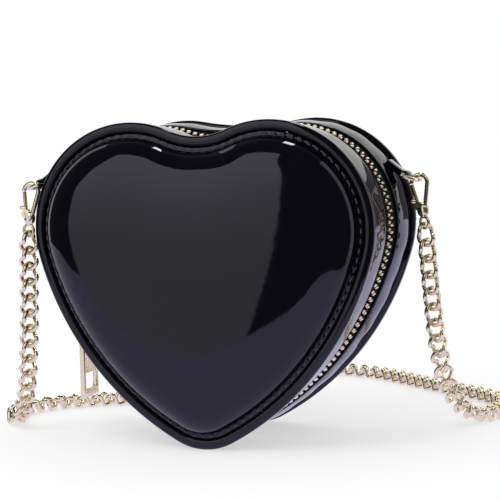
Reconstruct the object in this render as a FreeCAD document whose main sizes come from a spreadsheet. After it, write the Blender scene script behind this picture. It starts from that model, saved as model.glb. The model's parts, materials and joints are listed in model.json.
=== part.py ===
"""Heart shaped purse: two heart shells zipped together round the side, with a chain strap on two clasps.

The frame is in millimetres. X runs across the heart, the front faces -Y, Z is up, and the heart's tip
stands on the origin, half way through the bag's depth.
"""
import FreeCAD, Part
import Sketcher
import math
import os
from types import SimpleNamespace

V = FreeCAD.Vector
ACROSS, BACK, UP = V(1, 0, 0), V(0, 1, 0), V(0, 0, 1)
doc = FreeCAD.newDocument("heart_purse")
sheet = doc.addObject("Spreadsheet::Sheet", "Sizes")

# Driving dimensions, in millimetres and degrees
SIZES = {
    # Heart outline: tangent arcs of a cleft, two lobes, two sides and a tip
    "lobe_offset": 34.8, "lobe_radius": 51.2, "lobe_height": 105.1, "side_radius": 145, "tip_radius": 29,
    "front_cleft_radius": 36, "middle_cleft_radius": 62, "back_cleft_radius": 140,
    # Bag, from rim face to rim face, and the gaps between its layers
    "bag_depth": 78, "ply_gap": 0.1, "fit_gap": 0.3,
    # Welted rims
    "rim_width": 5, "rim_thickness": 4, "rim_round": 1.4,
    # Panels
    "flange_width": 2.3, "flange_drop": 1.2, "flange_slope": 0.2, "panel_seat": 3,
    "dome_run": 13, "dome_height": 12.5, "pad_run": 5.4, "pad_height": 3.2, "panel_thickness": 1.2,
    "board_thickness": 1, "lining_thickness": 0.6,
    # Gusset bands and the zip between them
    "band_inset": 2, "band_thickness": 1.4, "zip_half_opening": 11, "tape_thickness": 0.8, "tape_tuck": 2,
    "tooth_pitch": 3.5, "tooth_length": 1.35, "tooth_height": 3, "tooth_width": 3.1, "zip_slot": 1,
    "stop_length": 3,
    # Unzipped strip that folds, the zip's ends and the slider's place, as angles on the left side's arc
    "fold_top_angle": 213.5, "fold_end_angle": 236, "fold_gap": 0.3, "zip_end_angle": 237.3,
    "front_row_angle": 200.08, "rear_row_angle": 207.28, "slider_angle": 204.88,
    # Zip slider, its bail and its pull
    "slider_length": 13, "slider_width": 10, "slider_plate": 1.2, "slider_lift": 1.3,
    "keel_width": 8, "keel_plate": 1, "keel_drop": 0.4, "bridge_length": 3, "bridge_thickness": 0.5,
    "bail_radius": 4.2, "bail_wire": 0.9, "pivot_lift": 2,
    "pull_length": 52, "pull_width": 16, "pull_thickness": 2.6, "pull_bar": 1.1, "arm_width": 1.8,
    "arm_length": 7.5, "window_length": 8, "window_margin": 1.8, "window_foot": 4.2,
    # Stitches
    "stitch_pitch": 4.6, "stitch_length": 3.3, "stitch_radius": 0.4, "stitch_inset": 1.1,
    # Ring tabs and D-rings
    "tab_root_angle": 35, "tab_dip_angle": 39, "left_tab_setback": 9, "right_tab_setback": 16,
    "tab_length": 11, "tab_width": 9, "tab_thickness": 2.4, "tab_eye": 2.5,
    "ring_radius": 7.2, "ring_wire": 1, "ring_dip_angle": 18,
    # Lobster clasps
    "clasp_tilt_angle": 6.5, "hook_radius": 3.9, "clasp_wire": 1.15, "spine_drop": 12, "spine_offset": 1.2,
    "heel_drop": 13.4, "heel_half_length": 3.6, "heel_half_width": 3, "heel_half_depth": 2,
    "neck_length": 4.6, "neck_radius": 2.5, "neck_foot_radius": 1.5, "eye_radius": 2.8, "eye_wire": 0.8,
    "gate_offset": 1.9, "gate_drop": 11.2, "gate_wire": 0.95, "gate_gap": 0.4,
    "knuckle_radius": 1.5, "knuckle_width": 1.5, "knuckle_gap": 0.25, "cheek_radius": 2.1,
    "cheek_thickness": 0.7, "pin_radius": 0.6, "pin_play": 0.05, "spring_wall": 0.35,
    "lever_drop": 8.6, "lever_length": 2.4,
    # Curb chain and the way it lies on the floor
    "link_half_width": 4.1, "link_half_straight": 1.3, "link_wire": 1.1, "link_twist_angle": 38,
    "left_facing_angle": -45, "right_facing_angle": -70, "chain_pitch": 8, "eye_slack": 0.35,
    "drop_foot": 9, "strap_reach": 100,
}
for row, (alias, value) in enumerate(SIZES.items(), start=1):
    sheet.set(f"A{row}", alias.replace("_", " "))
    sheet.set(f"B{row}", str(value))
    sheet.setAlias(f"B{row}", alias)
doc.recompute()


class Size:
    """A size known both as a number and as an expression over the sheet."""

    def __init__(self, value, text):
        self.value = value
        self.text = text

    def __add__(self, other):
        other = as_size(other)
        return Size(self.value + other.value, f"{self.text} + {other.text}")

    def __sub__(self, other):
        other = as_size(other)
        return Size(self.value - other.value, f"{self.text} - ({other.text})")

    def __mul__(self, factor):
        factor = as_size(factor)
        return Size(self.value * factor.value, f"({self.text}) * ({factor.text})")

    def __truediv__(self, divisor):
        return Size(self.value / divisor, f"({self.text}) / {divisor}")

    def __neg__(self):
        return Size(-self.value, f"-({self.text})")


def as_size(number):
    """A plain number as a Size."""
    return number if isinstance(number, Size) else Size(number, str(number))


s = SimpleNamespace(**{alias: Size(float(sheet.get(alias)), f"Sizes.{alias}") for alias in SIZES})
mm = SimpleNamespace(**{alias: float(sheet.get(alias)) for alias in SIZES})
NONE = as_size(0)
SUBPARTS = []


def subpart(feature, label):
    """Give a finished piece its name and put it on the list that is written out."""
    feature.Label = label
    SUBPARTS.append(feature)
    return feature


# Heart outline

def heart_arcs(inset, cleft_radius):
    """Arcs of the outline, moved in by inset: centre, radius, first and last angle, counter-clockwise."""
    offset, height = mm.lobe_offset, mm.lobe_height
    lobe, side, tip = mm.lobe_radius, mm.side_radius, mm.tip_radius
    rise = math.sqrt((lobe + cleft_radius) ** 2 - offset ** 2)
    cleft_angle = math.atan2(rise, offset)
    # The side's centre is side - lobe away from the lobe's centre and side - tip away from the tip's
    to_lobe, to_tip = side - lobe, side - tip
    across, down = -offset, tip - height
    span = math.hypot(across, down)
    along = (to_lobe ** 2 - to_tip ** 2 + span ** 2) / (2 * span)
    beside = math.sqrt(to_lobe ** 2 - along ** 2)
    side_x = offset + (along * across + beside * down) / span
    side_z = height + (along * down - beside * across) / span
    lobe_angle = math.atan2(height - side_z, offset - side_x)
    tip_angle = math.atan2(tip - side_z, -side_x)
    half = math.pi
    return [
        ((0, height + rise), cleft_radius + inset, half + cleft_angle, 2 * half - cleft_angle),
        ((offset, height), lobe - inset, lobe_angle, half - cleft_angle),
        ((side_x, side_z), side - inset, tip_angle, lobe_angle),
        ((0, tip), tip - inset, half - tip_angle, 2 * half + tip_angle),
        ((-side_x, side_z), side - inset, half - lobe_angle, half - tip_angle),
        ((-offset, height), lobe - inset, cleft_angle, half - lobe_angle),
    ]


def heart_sketch(body, name, inset, depth, cleft):
    """Sketch of the outline in a body, moved in by inset, on the plane at y = depth."""
    sketch = body.newObject("Sketcher::SketchObject", name)
    plane = next(f for f in body.Origin.OriginFeatures if f.Role == "XZ_Plane")
    sketch.AttachmentSupport = [(plane, "")]
    sketch.MapMode = "FlatFace"
    sketch.setExpression("AttachmentOffset.Base.z", (-depth).text)
    arcs = heart_arcs(inset.value, cleft.value)
    for (x, z), radius, first, last in arcs:
        sketch.addGeometry(Part.ArcOfCircle(Part.Circle(V(x, z, 0), UP, radius), first, last), False)
    # Arcs 0 to 5 are cleft, right lobe, right side, tip, left side and left lobe. Points 1, 2 and 3 are
    # an arc's start, end and centre, and -2 is the vertical axis.
    rule = Sketcher.Constraint
    for shape in (
        rule("Tangent", 0, 2, 1, 2), rule("Tangent", 1, 1, 2, 2), rule("Tangent", 2, 1, 3, 2),
        rule("Tangent", 3, 1, 4, 2), rule("Tangent", 4, 1, 5, 2), rule("Coincident", 5, 1, 0, 1),
        rule("Horizontal", 0, 1, 0, 2), rule("Horizontal", 1, 3, 5, 3),
        rule("PointOnObject", 0, 3, -2), rule("PointOnObject", 3, 3, -2),
        rule("Equal", 2, 4), rule("Equal", 1, 5),
    ):
        sketch.addConstraint(shape)
    for title, shape, length in (
        ("cleft", rule("Radius", 0, arcs[0][1]), cleft + inset),
        ("lobe", rule("Radius", 1, arcs[1][1]), s.lobe_radius - inset),
        ("side", rule("Radius", 2, arcs[2][1]), s.side_radius - inset),
        ("tip", rule("Radius", 3, arcs[3][1]), s.tip_radius - inset),
        ("offset", rule("DistanceX", -1, 1, 1, 3, mm.lobe_offset), s.lobe_offset),
        ("height", rule("DistanceY", -1, 1, 1, 3, mm.lobe_height), s.lobe_height),
        ("tip_height", rule("DistanceY", -1, 1, 3, 3, mm.tip_radius), s.tip_radius),
    ):
        sketch.renameConstraint(sketch.addConstraint(shape), title)
        sketch.setExpression(f"Constraints.{title}", length.text)
    return sketch


def heart_pad(body, label, inset, front, back, cleft):
    """Solid heart between the planes y = front and y = back."""
    pad = body.newObject("PartDesign::Pad", f"{label}_pad")
    pad.Profile = heart_sketch(body, f"{label}_outline", inset, back, cleft)
    pad.setExpression("Length", (back - front).text)
    return pad


def heart_plate(label, inset, front, thickness, cleft):
    """Flat heart whose front is the plane y = front."""
    body = doc.addObject("PartDesign::Body", label)
    heart_pad(body, label, inset, front, front + thickness, cleft)
    return subpart(body, label)


def heart_ring(label, inset, thickness, front, back, cleft, rounded=None):
    """Band that follows the outline, its outside at inset; rounded is the plane whose edges are rounded."""
    body = doc.addObject("PartDesign::Body", label)
    pad = heart_pad(body, label, inset, front, back, cleft)
    hollow = body.newObject("PartDesign::Pocket", f"{label}_hollow")
    hollow.Profile = heart_sketch(body, f"{label}_inside", inset + thickness, front, cleft)
    hollow.Type = "ThroughAll"
    doc.recompute()
    if hollow.Shape.Volume > pad.Shape.Volume / 2:
        raise RuntimeError(f"{label} is not hollow")
    if rounded is not None:
        edges = [f"Edge{i}" for i, edge in enumerate(hollow.Shape.Edges, start=1)
                 if all(abs(v.Y - rounded.value) < mm.ply_gap for v in edge.Vertexes)]
        fillet = body.newObject("PartDesign::Fillet", f"{label}_round")
        fillet.Base = (hollow, edges)
        fillet.setExpression("Radius", s.rim_round.text)
    return subpart(body, label)


def heart_loft(body, kind, name, sections):
    """Straight-sided loft through outlines given as inset, depth and cleft."""
    sketches = [heart_sketch(body, f"{name}_{i}", *section) for i, section in enumerate(sections)]
    loft = body.newObject(f"PartDesign::{kind}", name)
    loft.Profile = sketches[0]
    loft.Sections = sketches[1:]
    loft.Ruled = True
    return loft


FRONT_FACE, BACK_FACE = -(s.bag_depth / 2), s.bag_depth / 2
FRONT_SEAM, BACK_SEAM = FRONT_FACE + s.rim_thickness, BACK_FACE - s.rim_thickness
TAPE_INSET = s.band_inset + s.band_thickness + s.ply_gap
LINING_INSET = TAPE_INSET + s.tape_thickness + s.ply_gap * 2
PANEL_INSET = s.rim_width + s.fit_gap
INNER_INSET = LINING_INSET + s.lining_thickness + s.fit_gap

# Rims: rolled welts round the front and the back

heart_ring("front_rim", NONE, s.rim_width, FRONT_FACE, FRONT_SEAM, s.front_cleft_radius, FRONT_FACE)
heart_ring("back_rim", NONE, s.rim_width, BACK_SEAM, BACK_FACE, s.back_cleft_radius, BACK_FACE)

# Panels: a flange inside the rim, then a border that climbs to the crown.
# The shares are of the run and the height from the flange to the flat of the crown.

DOME_SHARES = ((0, 0), (0.11, 0.42), (0.31, 0.70), (0.65, 0.90), (1, 1))
PAD_SHARES = ((0, 0), (0.35, 0.7), (1, 1))


def panel_sections(face, outward, run, height, shares, cleft, skin):
    """Outlines of a panel from its seat to its crown, moved in and back by skin."""
    edge = PANEL_INSET + skin
    foot = face - (s.flange_drop + skin) * outward
    sections = [(edge, face - s.panel_seat * outward, cleft), (edge, foot - s.flange_slope * outward, cleft)]
    for run_share, rise_share in shares:
        inset = edge + s.flange_width + run * run_share
        sections.append((inset, foot + height * (outward * rise_share), cleft))
    return sections


def panel(label, *form):
    """Skin of one panel, hollow on the inside."""
    body = doc.addObject("PartDesign::Body", label)
    heart_loft(body, "AdditiveLoft", f"{label}_outside", panel_sections(*form, NONE))
    heart_loft(body, "SubtractiveLoft", f"{label}_inside", panel_sections(*form, s.panel_thickness))
    return subpart(body, label)


def padding(label, *form):
    """Foam that fills the panel's hollow."""
    body = doc.addObject("PartDesign::Body", label)
    heart_loft(body, "AdditiveLoft", f"{label}_form", panel_sections(*form, s.panel_thickness + s.ply_gap))
    return subpart(body, label)


FRONT_FORM = (FRONT_FACE, -1, s.dome_run, s.dome_height, DOME_SHARES, s.front_cleft_radius)
BACK_FORM = (BACK_FACE, 1, s.pad_run, s.pad_height, PAD_SHARES, s.back_cleft_radius)
panel("front_panel", *FRONT_FORM)
padding("front_foam", *FRONT_FORM)
panel("back_panel", *BACK_FORM)
padding("back_foam", *BACK_FORM)

# Stiffening boards and cloth linings behind the panels

FRONT_BOARD = FRONT_FACE + s.panel_seat + s.ply_gap
FRONT_LINING = FRONT_BOARD + s.board_thickness + s.ply_gap
BACK_BOARD = BACK_FACE - s.panel_seat - s.ply_gap - s.board_thickness
BACK_LINING = BACK_BOARD - s.ply_gap - s.lining_thickness
heart_plate("front_board", INNER_INSET, FRONT_BOARD, s.board_thickness, s.front_cleft_radius)
heart_plate("front_lining", INNER_INSET, FRONT_LINING, s.lining_thickness, s.front_cleft_radius)
heart_plate("back_board", INNER_INSET, BACK_BOARD, s.board_thickness, s.back_cleft_radius)
heart_plate("back_lining", INNER_INSET, BACK_LINING, s.lining_thickness, s.back_cleft_radius)

# Gusset bands and their linings, sewn to the rims

ZIP_EDGE = s.zip_half_opening
TUCK = ZIP_EDGE + s.tape_tuck + s.ply_gap
heart_ring("front_gusset_band", s.band_inset, s.band_thickness, FRONT_SEAM, -ZIP_EDGE, s.front_cleft_radius)
heart_ring("rear_gusset_band", s.band_inset, s.band_thickness, ZIP_EDGE, BACK_SEAM, s.back_cleft_radius)
heart_ring("front_gusset_lining", LINING_INSET, s.lining_thickness, FRONT_SEAM, -TUCK, s.front_cleft_radius)
heart_ring("rear_gusset_lining", LINING_INSET, s.lining_thickness, TUCK, BACK_SEAM, s.back_cleft_radius)

# Zip tapes: tucked under the bands and running to the roots of the teeth

TOOTH_ROOT = s.zip_slot / 2 + s.tooth_width + s.ply_gap


def zip_tape(label, side, cleft):
    """One tape, whose cleft eases from its band's to the zip's own."""
    body = doc.addObject("PartDesign::Body", label)
    for kind, inset in (("AdditiveLoft", TAPE_INSET), ("SubtractiveLoft", TAPE_INSET + s.tape_thickness)):
        heart_loft(body, kind, f"{label}_{kind}", [
            (inset, (ZIP_EDGE + s.tape_tuck) * side, cleft),
            (inset, ZIP_EDGE * side, cleft),
            (inset, TOOTH_ROOT * side, s.middle_cleft_radius),
        ])
    return subpart(body, label)


zip_tape("front_zip_tape", -1, s.front_cleft_radius)
zip_tape("rear_zip_tape", 1, s.back_cleft_radius)


# Places along the outline

def axes(origin, x_axis, z_axis):
    """Placement of a local frame from its origin, its x axis and the direction nearest to its z axis."""
    return FreeCAD.Placement(origin, FreeCAD.Rotation(x_axis, z_axis.cross(x_axis), z_axis, "XZY"))


def walk(inset, cleft_radius, start_degrees):
    """Legs of a clockwise walk round the outline, from an angle on the left side's arc back to that angle."""
    cleft, right_lobe, right_side, tip, left_side, left_lobe = heart_arcs(inset, cleft_radius)
    start = math.radians(start_degrees)
    legs = (
        (left_side, start, left_side[2], 1), (left_lobe, left_lobe[3], left_lobe[2], 1),
        (cleft, cleft[2], cleft[3], -1), (right_lobe, right_lobe[3], right_lobe[2], 1),
        (right_side, right_side[3], right_side[2], 1), (tip, tip[3], tip[2], 1),
        (left_side, left_side[3], start, 1),
    )
    return [(V(*arc[0], 0), arc[1], first, last, facing) for arc, first, last, facing in legs]


def walk_length(legs):
    """Length of the walk."""
    return sum(abs(last - first) * radius for centre, radius, first, last, facing in legs)


def place_on(legs, distance, depth):
    """Local frame at a distance along the walk: x with the travel, z outward."""
    for centre, radius, first, last, facing in legs:
        length = abs(last - first) * radius
        if distance <= length or (centre, last) == (legs[-1][0], legs[-1][3]):
            break
        distance -= length
    angle = first + (last - first) * distance / length
    radial = V(math.cos(angle), 0, math.sin(angle))
    outward = radial * facing
    point = V(centre.x, depth, centre.y) + radial * radius
    return axes(point, BACK.cross(outward), outward)


def row_feature(label, shape):
    """One sub-part made of a row of equal pieces."""
    feature = doc.addObject("Part::Feature", label)
    feature.Shape = shape
    return subpart(feature, label)


# Zip teeth and the stops at the zip's ends

TEETH_INSET = TAPE_INSET.value + (mm.tape_thickness - mm.tooth_height) / 2
TOOTH_DEPTH = (mm.zip_slot + mm.tooth_width) / 2


def left_run(angle):
    """Distance up the left side's arc from the zip's end to an angle."""
    return math.radians(mm.zip_end_angle - angle) * (mm.side_radius - TEETH_INSET)


def block(length, width, height):
    """Box centred across its base and standing between the levels 0 and -height."""
    return Part.makeBox(length, width, height, V(-length / 2, -width / 2, -height))


def moved(shape, placement):
    """Copy of a shape in a local frame."""
    copy = shape.copy()
    copy.Placement = placement
    return copy


ZIP_WALK = walk(TEETH_INSET, mm.middle_cleft_radius, mm.zip_end_angle)
ZIP_LENGTH = walk_length(ZIP_WALK)


def row_of(piece, places, side):
    """Copies of a piece at places along the zip, on one side of its middle."""
    return Part.makeCompound([moved(piece, place_on(ZIP_WALK, d, side * TOOTH_DEPTH)) for d in places])


def tooth_row(label, side, start, lead):
    """One row of teeth from a start, with a lead that sets the two rows half a pitch apart."""
    tooth = block(mm.tooth_length, mm.tooth_width, mm.tooth_height)
    first = math.ceil((start - lead) / mm.tooth_pitch)
    last = int((ZIP_LENGTH - lead - mm.stop_length) / mm.tooth_pitch)
    places = [lead + i * mm.tooth_pitch for i in range(first, last)]
    row_feature(label, row_of(tooth, places, side))
    return places


tooth_row("front_zip_teeth", -1, left_run(mm.front_row_angle), 0)
rear_places = tooth_row("rear_zip_teeth", 1, left_run(mm.rear_row_angle), mm.tooth_pitch / 2)
stop = block(mm.stop_length, mm.tooth_width, mm.tooth_height)
stop_step = mm.tooth_length / 2 + mm.fit_gap + mm.stop_length / 2
stop_places = (rear_places[0] - stop_step, rear_places[-1] + stop_step)
row_feature("zip_end_stops", row_of(stop, stop_places, 1))

# Stitches just inside each rim, half sunk in the flange's line

STITCH_INSET = PANEL_INSET.value + mm.stitch_inset


def stitching(label, side, cleft_radius):
    """Closed run of stitches lying on the flange."""
    legs = walk(STITCH_INSET, cleft_radius, mm.fold_top_angle)
    length = walk_length(legs)
    count = round(length / mm.stitch_pitch)
    level = side * (mm.bag_depth / 2 - mm.flange_drop + mm.stitch_radius + mm.ply_gap)
    thread = Part.makeCylinder(mm.stitch_radius, mm.stitch_length, V(-mm.stitch_length / 2, 0, 0), ACROSS)
    row_feature(label, Part.makeCompound([moved(thread, place_on(legs, i * length / count, level))
                                          for i in range(count)]))


stitching("front_stitching", -1, mm.front_cleft_radius)
stitching("back_stitching", 1, mm.back_cleft_radius)


# Solids made from primitives

def solid(kind, name, placement, **lengths):
    """Primitive with its sizes bound to the sheet."""
    feature = doc.addObject(f"Part::{kind}", name)
    for prop, length in lengths.items():
        feature.setExpression(prop, as_size(length).text)
    feature.Placement = placement
    return feature


def joined(name, *features):
    """Union of several primitives."""
    feature = doc.addObject("Part::MultiFuse", name)
    feature.Shapes = list(features)
    return feature


def cut(name, base, tool):
    """One solid less another."""
    feature = doc.addObject("Part::Cut", name)
    feature.Base = base
    feature.Tool = tool
    return feature


def shifted(placement, x, y, z):
    """A local frame moved along its own axes."""
    return placement.multiply(FreeCAD.Placement(V(x, y, z), FreeCAD.Rotation()))


def centred_box(name, placement, length, width, height):
    """Box centred on x and y of a local frame, standing on its z = 0."""
    corner = shifted(placement, -length.value / 2, -width.value / 2, 0)
    return solid("Box", name, corner, Length=length, Width=width, Height=height)


def rod(name, start, end, radius):
    """Round rod between two points."""
    run = end - start
    feature = doc.addObject("Part::Cylinder", name)
    feature.setExpression("Radius", radius.text)
    feature.Height = run.Length
    feature.Placement = FreeCAD.Placement(start, FreeCAD.Rotation(UP, run))
    return feature


def ball(name, centre, radius):
    """Round end of a rod."""
    return solid("Sphere", name, FreeCAD.Placement(centre, FreeCAD.Rotation()), Radius=radius)


def half_ring(name, centre, first, middle, radius, wire):
    """Half of a wire ring, from the direction first, through middle, to the far side."""
    place = axes(centre, first, first.cross(middle))
    return solid("Torus", name, place, Radius1=radius, Radius2=wire, Angle3=180)


# Fold strips: the unzipped part of the side, in two halves that meet at the fold

SIDE_CENTRE = heart_arcs(0, mm.middle_cleft_radius)[4][0]


def side_sector(name, radius, depth, width):
    """Sector of a cylinder about the left side's centre, from y = depth, over the angles of the fold."""
    turn = FreeCAD.Rotation(BACK, -mm.fold_end_angle).multiply(FreeCAD.Rotation(ACROSS, -90))
    place = FreeCAD.Placement(V(SIDE_CENTRE[0], depth.value, SIDE_CENTRE[1]), turn)
    sweep = s.fold_end_angle - s.fold_top_angle
    return solid("Cylinder", name, place, Radius=radius, Height=width, Angle=sweep)


def fold_strip(label, side):
    """One half of the strip."""
    width = ZIP_EDGE - s.ply_gap - s.fold_gap / 2
    front = s.fold_gap / 2 if side > 0 else s.ply_gap - ZIP_EDGE
    outer = s.side_radius - s.band_inset
    return subpart(cut(f"{label}_strip",
                       side_sector(f"{label}_outer", outer, front, width),
                       side_sector(f"{label}_inner", outer - s.band_thickness, front, width)), label)


fold_strip("front_fold_strip", -1)
fold_strip("rear_fold_strip", 1)

# Zip slider: a plate over the teeth, a keel under them, and a bridge through the slot between the rows

TEETH_TOP = place_on(ZIP_WALK, left_run(mm.slider_angle), 0)
UPSIDE = shifted(TEETH_TOP, 0, 0, mm.slider_lift)
UNDERSIDE = shifted(TEETH_TOP, 0, 0, -mm.tooth_height - mm.keel_drop - mm.keel_plate)
slider_plate = centred_box("slider_plate", UPSIDE, s.slider_length, s.slider_width, s.slider_plate)
slider_keel = centred_box("slider_keel", UNDERSIDE, s.slider_length, s.keel_width, s.keel_plate)
bridge_place = shifted(UNDERSIDE, (mm.bridge_length - mm.slider_length) / 2, 0, mm.keel_plate)
slider_bridge = centred_box("slider_bridge", bridge_place, s.bridge_length, s.bridge_thickness,
                            s.keel_drop + s.tooth_height + s.slider_lift)
subpart(joined("slider", slider_plate, slider_keel, slider_bridge), "zip_slider")

# Bail: a round arch on the slider's plate, and the pull that hangs from it

PLATE_TOP = shifted(UPSIDE, 0, 0, mm.slider_plate)
PLATE_RUN = PLATE_TOP.Rotation.multVec(ACROSS)
PLATE_OUT = PLATE_TOP.Rotation.multVec(UP)
subpart(half_ring("bail", PLATE_TOP.Base, PLATE_RUN, PLATE_OUT, s.bail_radius, s.bail_wire), "slider_bail")

PIVOT = shifted(PLATE_TOP, 0, 0, mm.pivot_lift).Base
HANGING = axes(PIVOT, ACROSS, UP)
pull_bar = rod("pull_bar", PIVOT - BACK * (mm.pull_width / 2), PIVOT + BACK * (mm.pull_width / 2), s.pull_bar)
pull_blade = centred_box("pull_blade", shifted(HANGING, 0, 0, -mm.pull_length),
                         s.pull_thickness, s.pull_width, s.pull_length)
fork = centred_box("pull_fork", shifted(HANGING, 0, 0, -mm.arm_length),
                   s.pull_thickness * 2, s.pull_width - s.arm_width * 2, s.arm_length * 2)
window = centred_box("pull_window", shifted(HANGING, 0, 0, mm.window_foot - mm.pull_length),
                     s.pull_thickness * 2, s.pull_width - s.window_margin * 2, s.window_length)
pull_frame = cut("pull_frame", cut("pull_forked", pull_blade, fork), window)
subpart(joined("pull", pull_frame, pull_bar), "zip_pull")


# Tabs, rings and clasps, on the right at the back and on the left at the front

def square_to(vector, direction):
    """The part of a vector that is square to a direction, at unit length."""
    flat = vector - direction * vector.dot(direction)
    return flat.normalize()


def heading(side, degrees):
    """Direction in the plane of the heart, at an angle above straight out to one side."""
    return V(side * math.cos(math.radians(degrees)), 0, math.sin(math.radians(degrees)))


def ring_tab(label, side):
    """Folded strip sewn to the band, with an eye for the ring's bar; returns the eye's centre."""
    setback = mm.right_tab_setback if side > 0 else mm.left_tab_setback
    lobe_centre = V(side * mm.lobe_offset, side * (mm.bag_depth / 2 - setback), mm.lobe_height)
    root_out, run = heading(side, mm.tab_root_angle), heading(side, -mm.tab_dip_angle)
    lift = mm.lobe_radius - mm.band_inset + mm.ply_gap + mm.tab_thickness / 2
    root = lobe_centre + root_out * lift
    eye = root + run * mm.tab_length
    flat = axes(root, run, run.cross(BACK) * side)
    strip_place = shifted(flat, mm.tab_length / 2, 0, -mm.tab_thickness / 2)
    strip = centred_box(f"{label}_strip", strip_place, s.tab_length, s.tab_width, s.tab_thickness)
    half_width = BACK * (mm.tab_width / 2)
    roll = rod(f"{label}_roll", eye - half_width, eye + half_width, s.tab_eye)
    bore = rod(f"{label}_bore", eye - half_width * 2, eye + half_width * 2, s.ring_wire + s.fit_gap)
    subpart(cut(f"{label}_bored", joined(f"{label}_solid", strip, roll), bore), label)
    return eye


def d_ring(label, side, eye):
    """Straight bar through the tab's eye and a round bow; returns the middle of the bow's wire."""
    reach = heading(side, -mm.ring_dip_angle)
    ends = [eye + BACK * (sign * mm.ring_radius) for sign in (-1, 1)]
    bow = half_ring(f"{label}_bow", eye, BACK, reach, s.ring_radius, s.ring_wire)
    corners = [ball(f"{label}_corner_{i}", end, s.ring_wire) for i, end in enumerate(ends)]
    subpart(joined(f"{label}_wire", bow, rod(f"{label}_bar", *ends, s.ring_wire), *corners), label)
    return eye + reach * mm.ring_radius


def clasp(name, side, ring_wire, facing_angle):
    """Lobster clasp hanging on the ring, its gate on the left; returns its eye's centre and its own axis.

    The eye stands square to the twisted end of the first link, whose face looks along facing_angle in plan.
    """
    up = heading(-side, 90 - mm.clasp_tilt_angle)
    out = V(-up.z, 0, up.x)
    top = ring_wire - up * (mm.hook_radius - mm.clasp_wire - mm.ring_wire - mm.fit_gap)

    def at(across, drop, depth=0):
        return top + out * across - up * drop + BACK * depth

    def hinge(depth):
        return at(mm.gate_offset, mm.gate_drop, depth)

    spine_top, spine_foot = at(-mm.hook_radius, 0), at(-mm.spine_offset, mm.spine_drop)
    neck_foot = at(0, mm.spine_drop + mm.neck_length)
    eye = at(0, mm.spine_drop + mm.neck_length + mm.eye_radius)
    inner = mm.knuckle_width / 2 + mm.knuckle_gap
    outer = inner + mm.cheek_thickness
    # Body: hook, spine, full heel, neck, eye and two cheeks for the gate's pin
    hook = half_ring(f"{name}_hook", top, out, up, s.hook_radius, s.clasp_wire)
    spine = rod(f"{name}_spine", spine_top, spine_foot, s.clasp_wire)
    bends = [ball(f"{name}_bend_{i}", p, s.clasp_wire) for i, p in enumerate((spine_top, spine_foot))]
    heel = solid("Ellipsoid", f"{name}_heel", axes(at(0, mm.heel_drop), out, up),
                 Radius1=s.heel_half_length, Radius2=s.heel_half_width, Radius3=s.heel_half_depth)
    neck = solid("Cone", f"{name}_neck", FreeCAD.Placement(neck_foot, FreeCAD.Rotation(UP, up)),
                 Radius1=s.neck_foot_radius, Radius2=s.neck_radius, Height=s.neck_length)
    eye_turn = FreeCAD.Rotation(UP, 90 + facing_angle + mm.link_twist_angle)
    eye_axis = square_to(eye_turn.multVec(ACROSS), up)
    ring = solid("Torus", f"{name}_ring", FreeCAD.Placement(eye, FreeCAD.Rotation(UP, eye_axis)),
                 Radius1=s.eye_radius, Radius2=s.eye_wire)
    cheeks = [rod(f"{name}_cheek_{i}", hinge(sign * inner), hinge(sign * outer), s.cheek_radius)
              for i, sign in enumerate((-1, 1))]
    slot = rod(f"{name}_slot", hinge(-inner), hinge(inner), s.cheek_radius)
    bore = rod(f"{name}_bore", hinge(-outer * 2), hinge(outer * 2), s.pin_radius + s.pin_play)
    frame = joined(f"{name}_frame", hook, spine, *bends, heel, neck, ring)
    cheeked = joined(f"{name}_cheeked", cut(f"{name}_slotted", frame, slot), *cheeks)
    subpart(cut(f"{name}_drilled", cheeked, bore), f"{name}_body")
    # Pin through the cheeks
    subpart(rod(f"{name}_pivot", hinge(-outer), hinge(outer), s.pin_radius), f"{name}_pin")
    # Gate: a knuckle on the pin, a bar that closes the hook, and a thumb lever
    knuckle_half = mm.knuckle_width / 2
    knuckle = rod(f"{name}_knuckle", hinge(-knuckle_half), hinge(knuckle_half), s.knuckle_radius)
    bar = rod(f"{name}_bar", hinge(0), at(mm.hook_radius, mm.gate_gap), s.gate_wire)
    lever_share = (mm.gate_drop - mm.lever_drop) / (mm.gate_drop - mm.gate_gap)
    lever_root = mm.gate_offset + (mm.hook_radius - mm.gate_offset) * lever_share
    lever_tip = at(lever_root + mm.lever_length, mm.lever_drop)
    lever = rod(f"{name}_lever", at(lever_root, mm.lever_drop), lever_tip, s.gate_wire)
    thumb = ball(f"{name}_thumb", lever_tip, s.gate_wire)
    spring_room = s.pin_radius + s.pin_play + s.spring_wall + s.fit_gap
    hollow = rod(f"{name}_hollow", hinge(0), hinge(inner), spring_room)
    gate_solid = joined(f"{name}_gate_solid", knuckle, bar, lever, thumb)
    gate_hollow = cut(f"{name}_gate_hollow", gate_solid, hollow)
    gate_bore = rod(f"{name}_gate_bore", hinge(-inner), hinge(inner), s.pin_radius + s.pin_play)
    subpart(cut(f"{name}_gate_bored", gate_hollow, gate_bore), f"{name}_gate")
    # Spring round the pin, inside the knuckle
    spring_ends = hinge(mm.ply_gap), hinge(knuckle_half)
    spring_bore = s.pin_radius + s.pin_play
    subpart(cut(f"{name}_coil", rod(f"{name}_coil_out", *spring_ends, spring_bore + s.spring_wall),
                rod(f"{name}_coil_in", *spring_ends, spring_bore)), f"{name}_spring")
    return eye, up


right_bow = d_ring("right_d_ring", 1, ring_tab("right_ring_tab", 1))
left_bow = d_ring("left_d_ring", -1, ring_tab("left_ring_tab", -1))
right_eye, right_up = clasp("right_clasp", 1, right_bow, mm.right_facing_angle)
left_eye, left_up = clasp("left_clasp", -1, left_bow, mm.left_facing_angle)

# Chain strap: curb links down from the left clasp, along the floor behind the bag, and up to the right clasp

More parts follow.
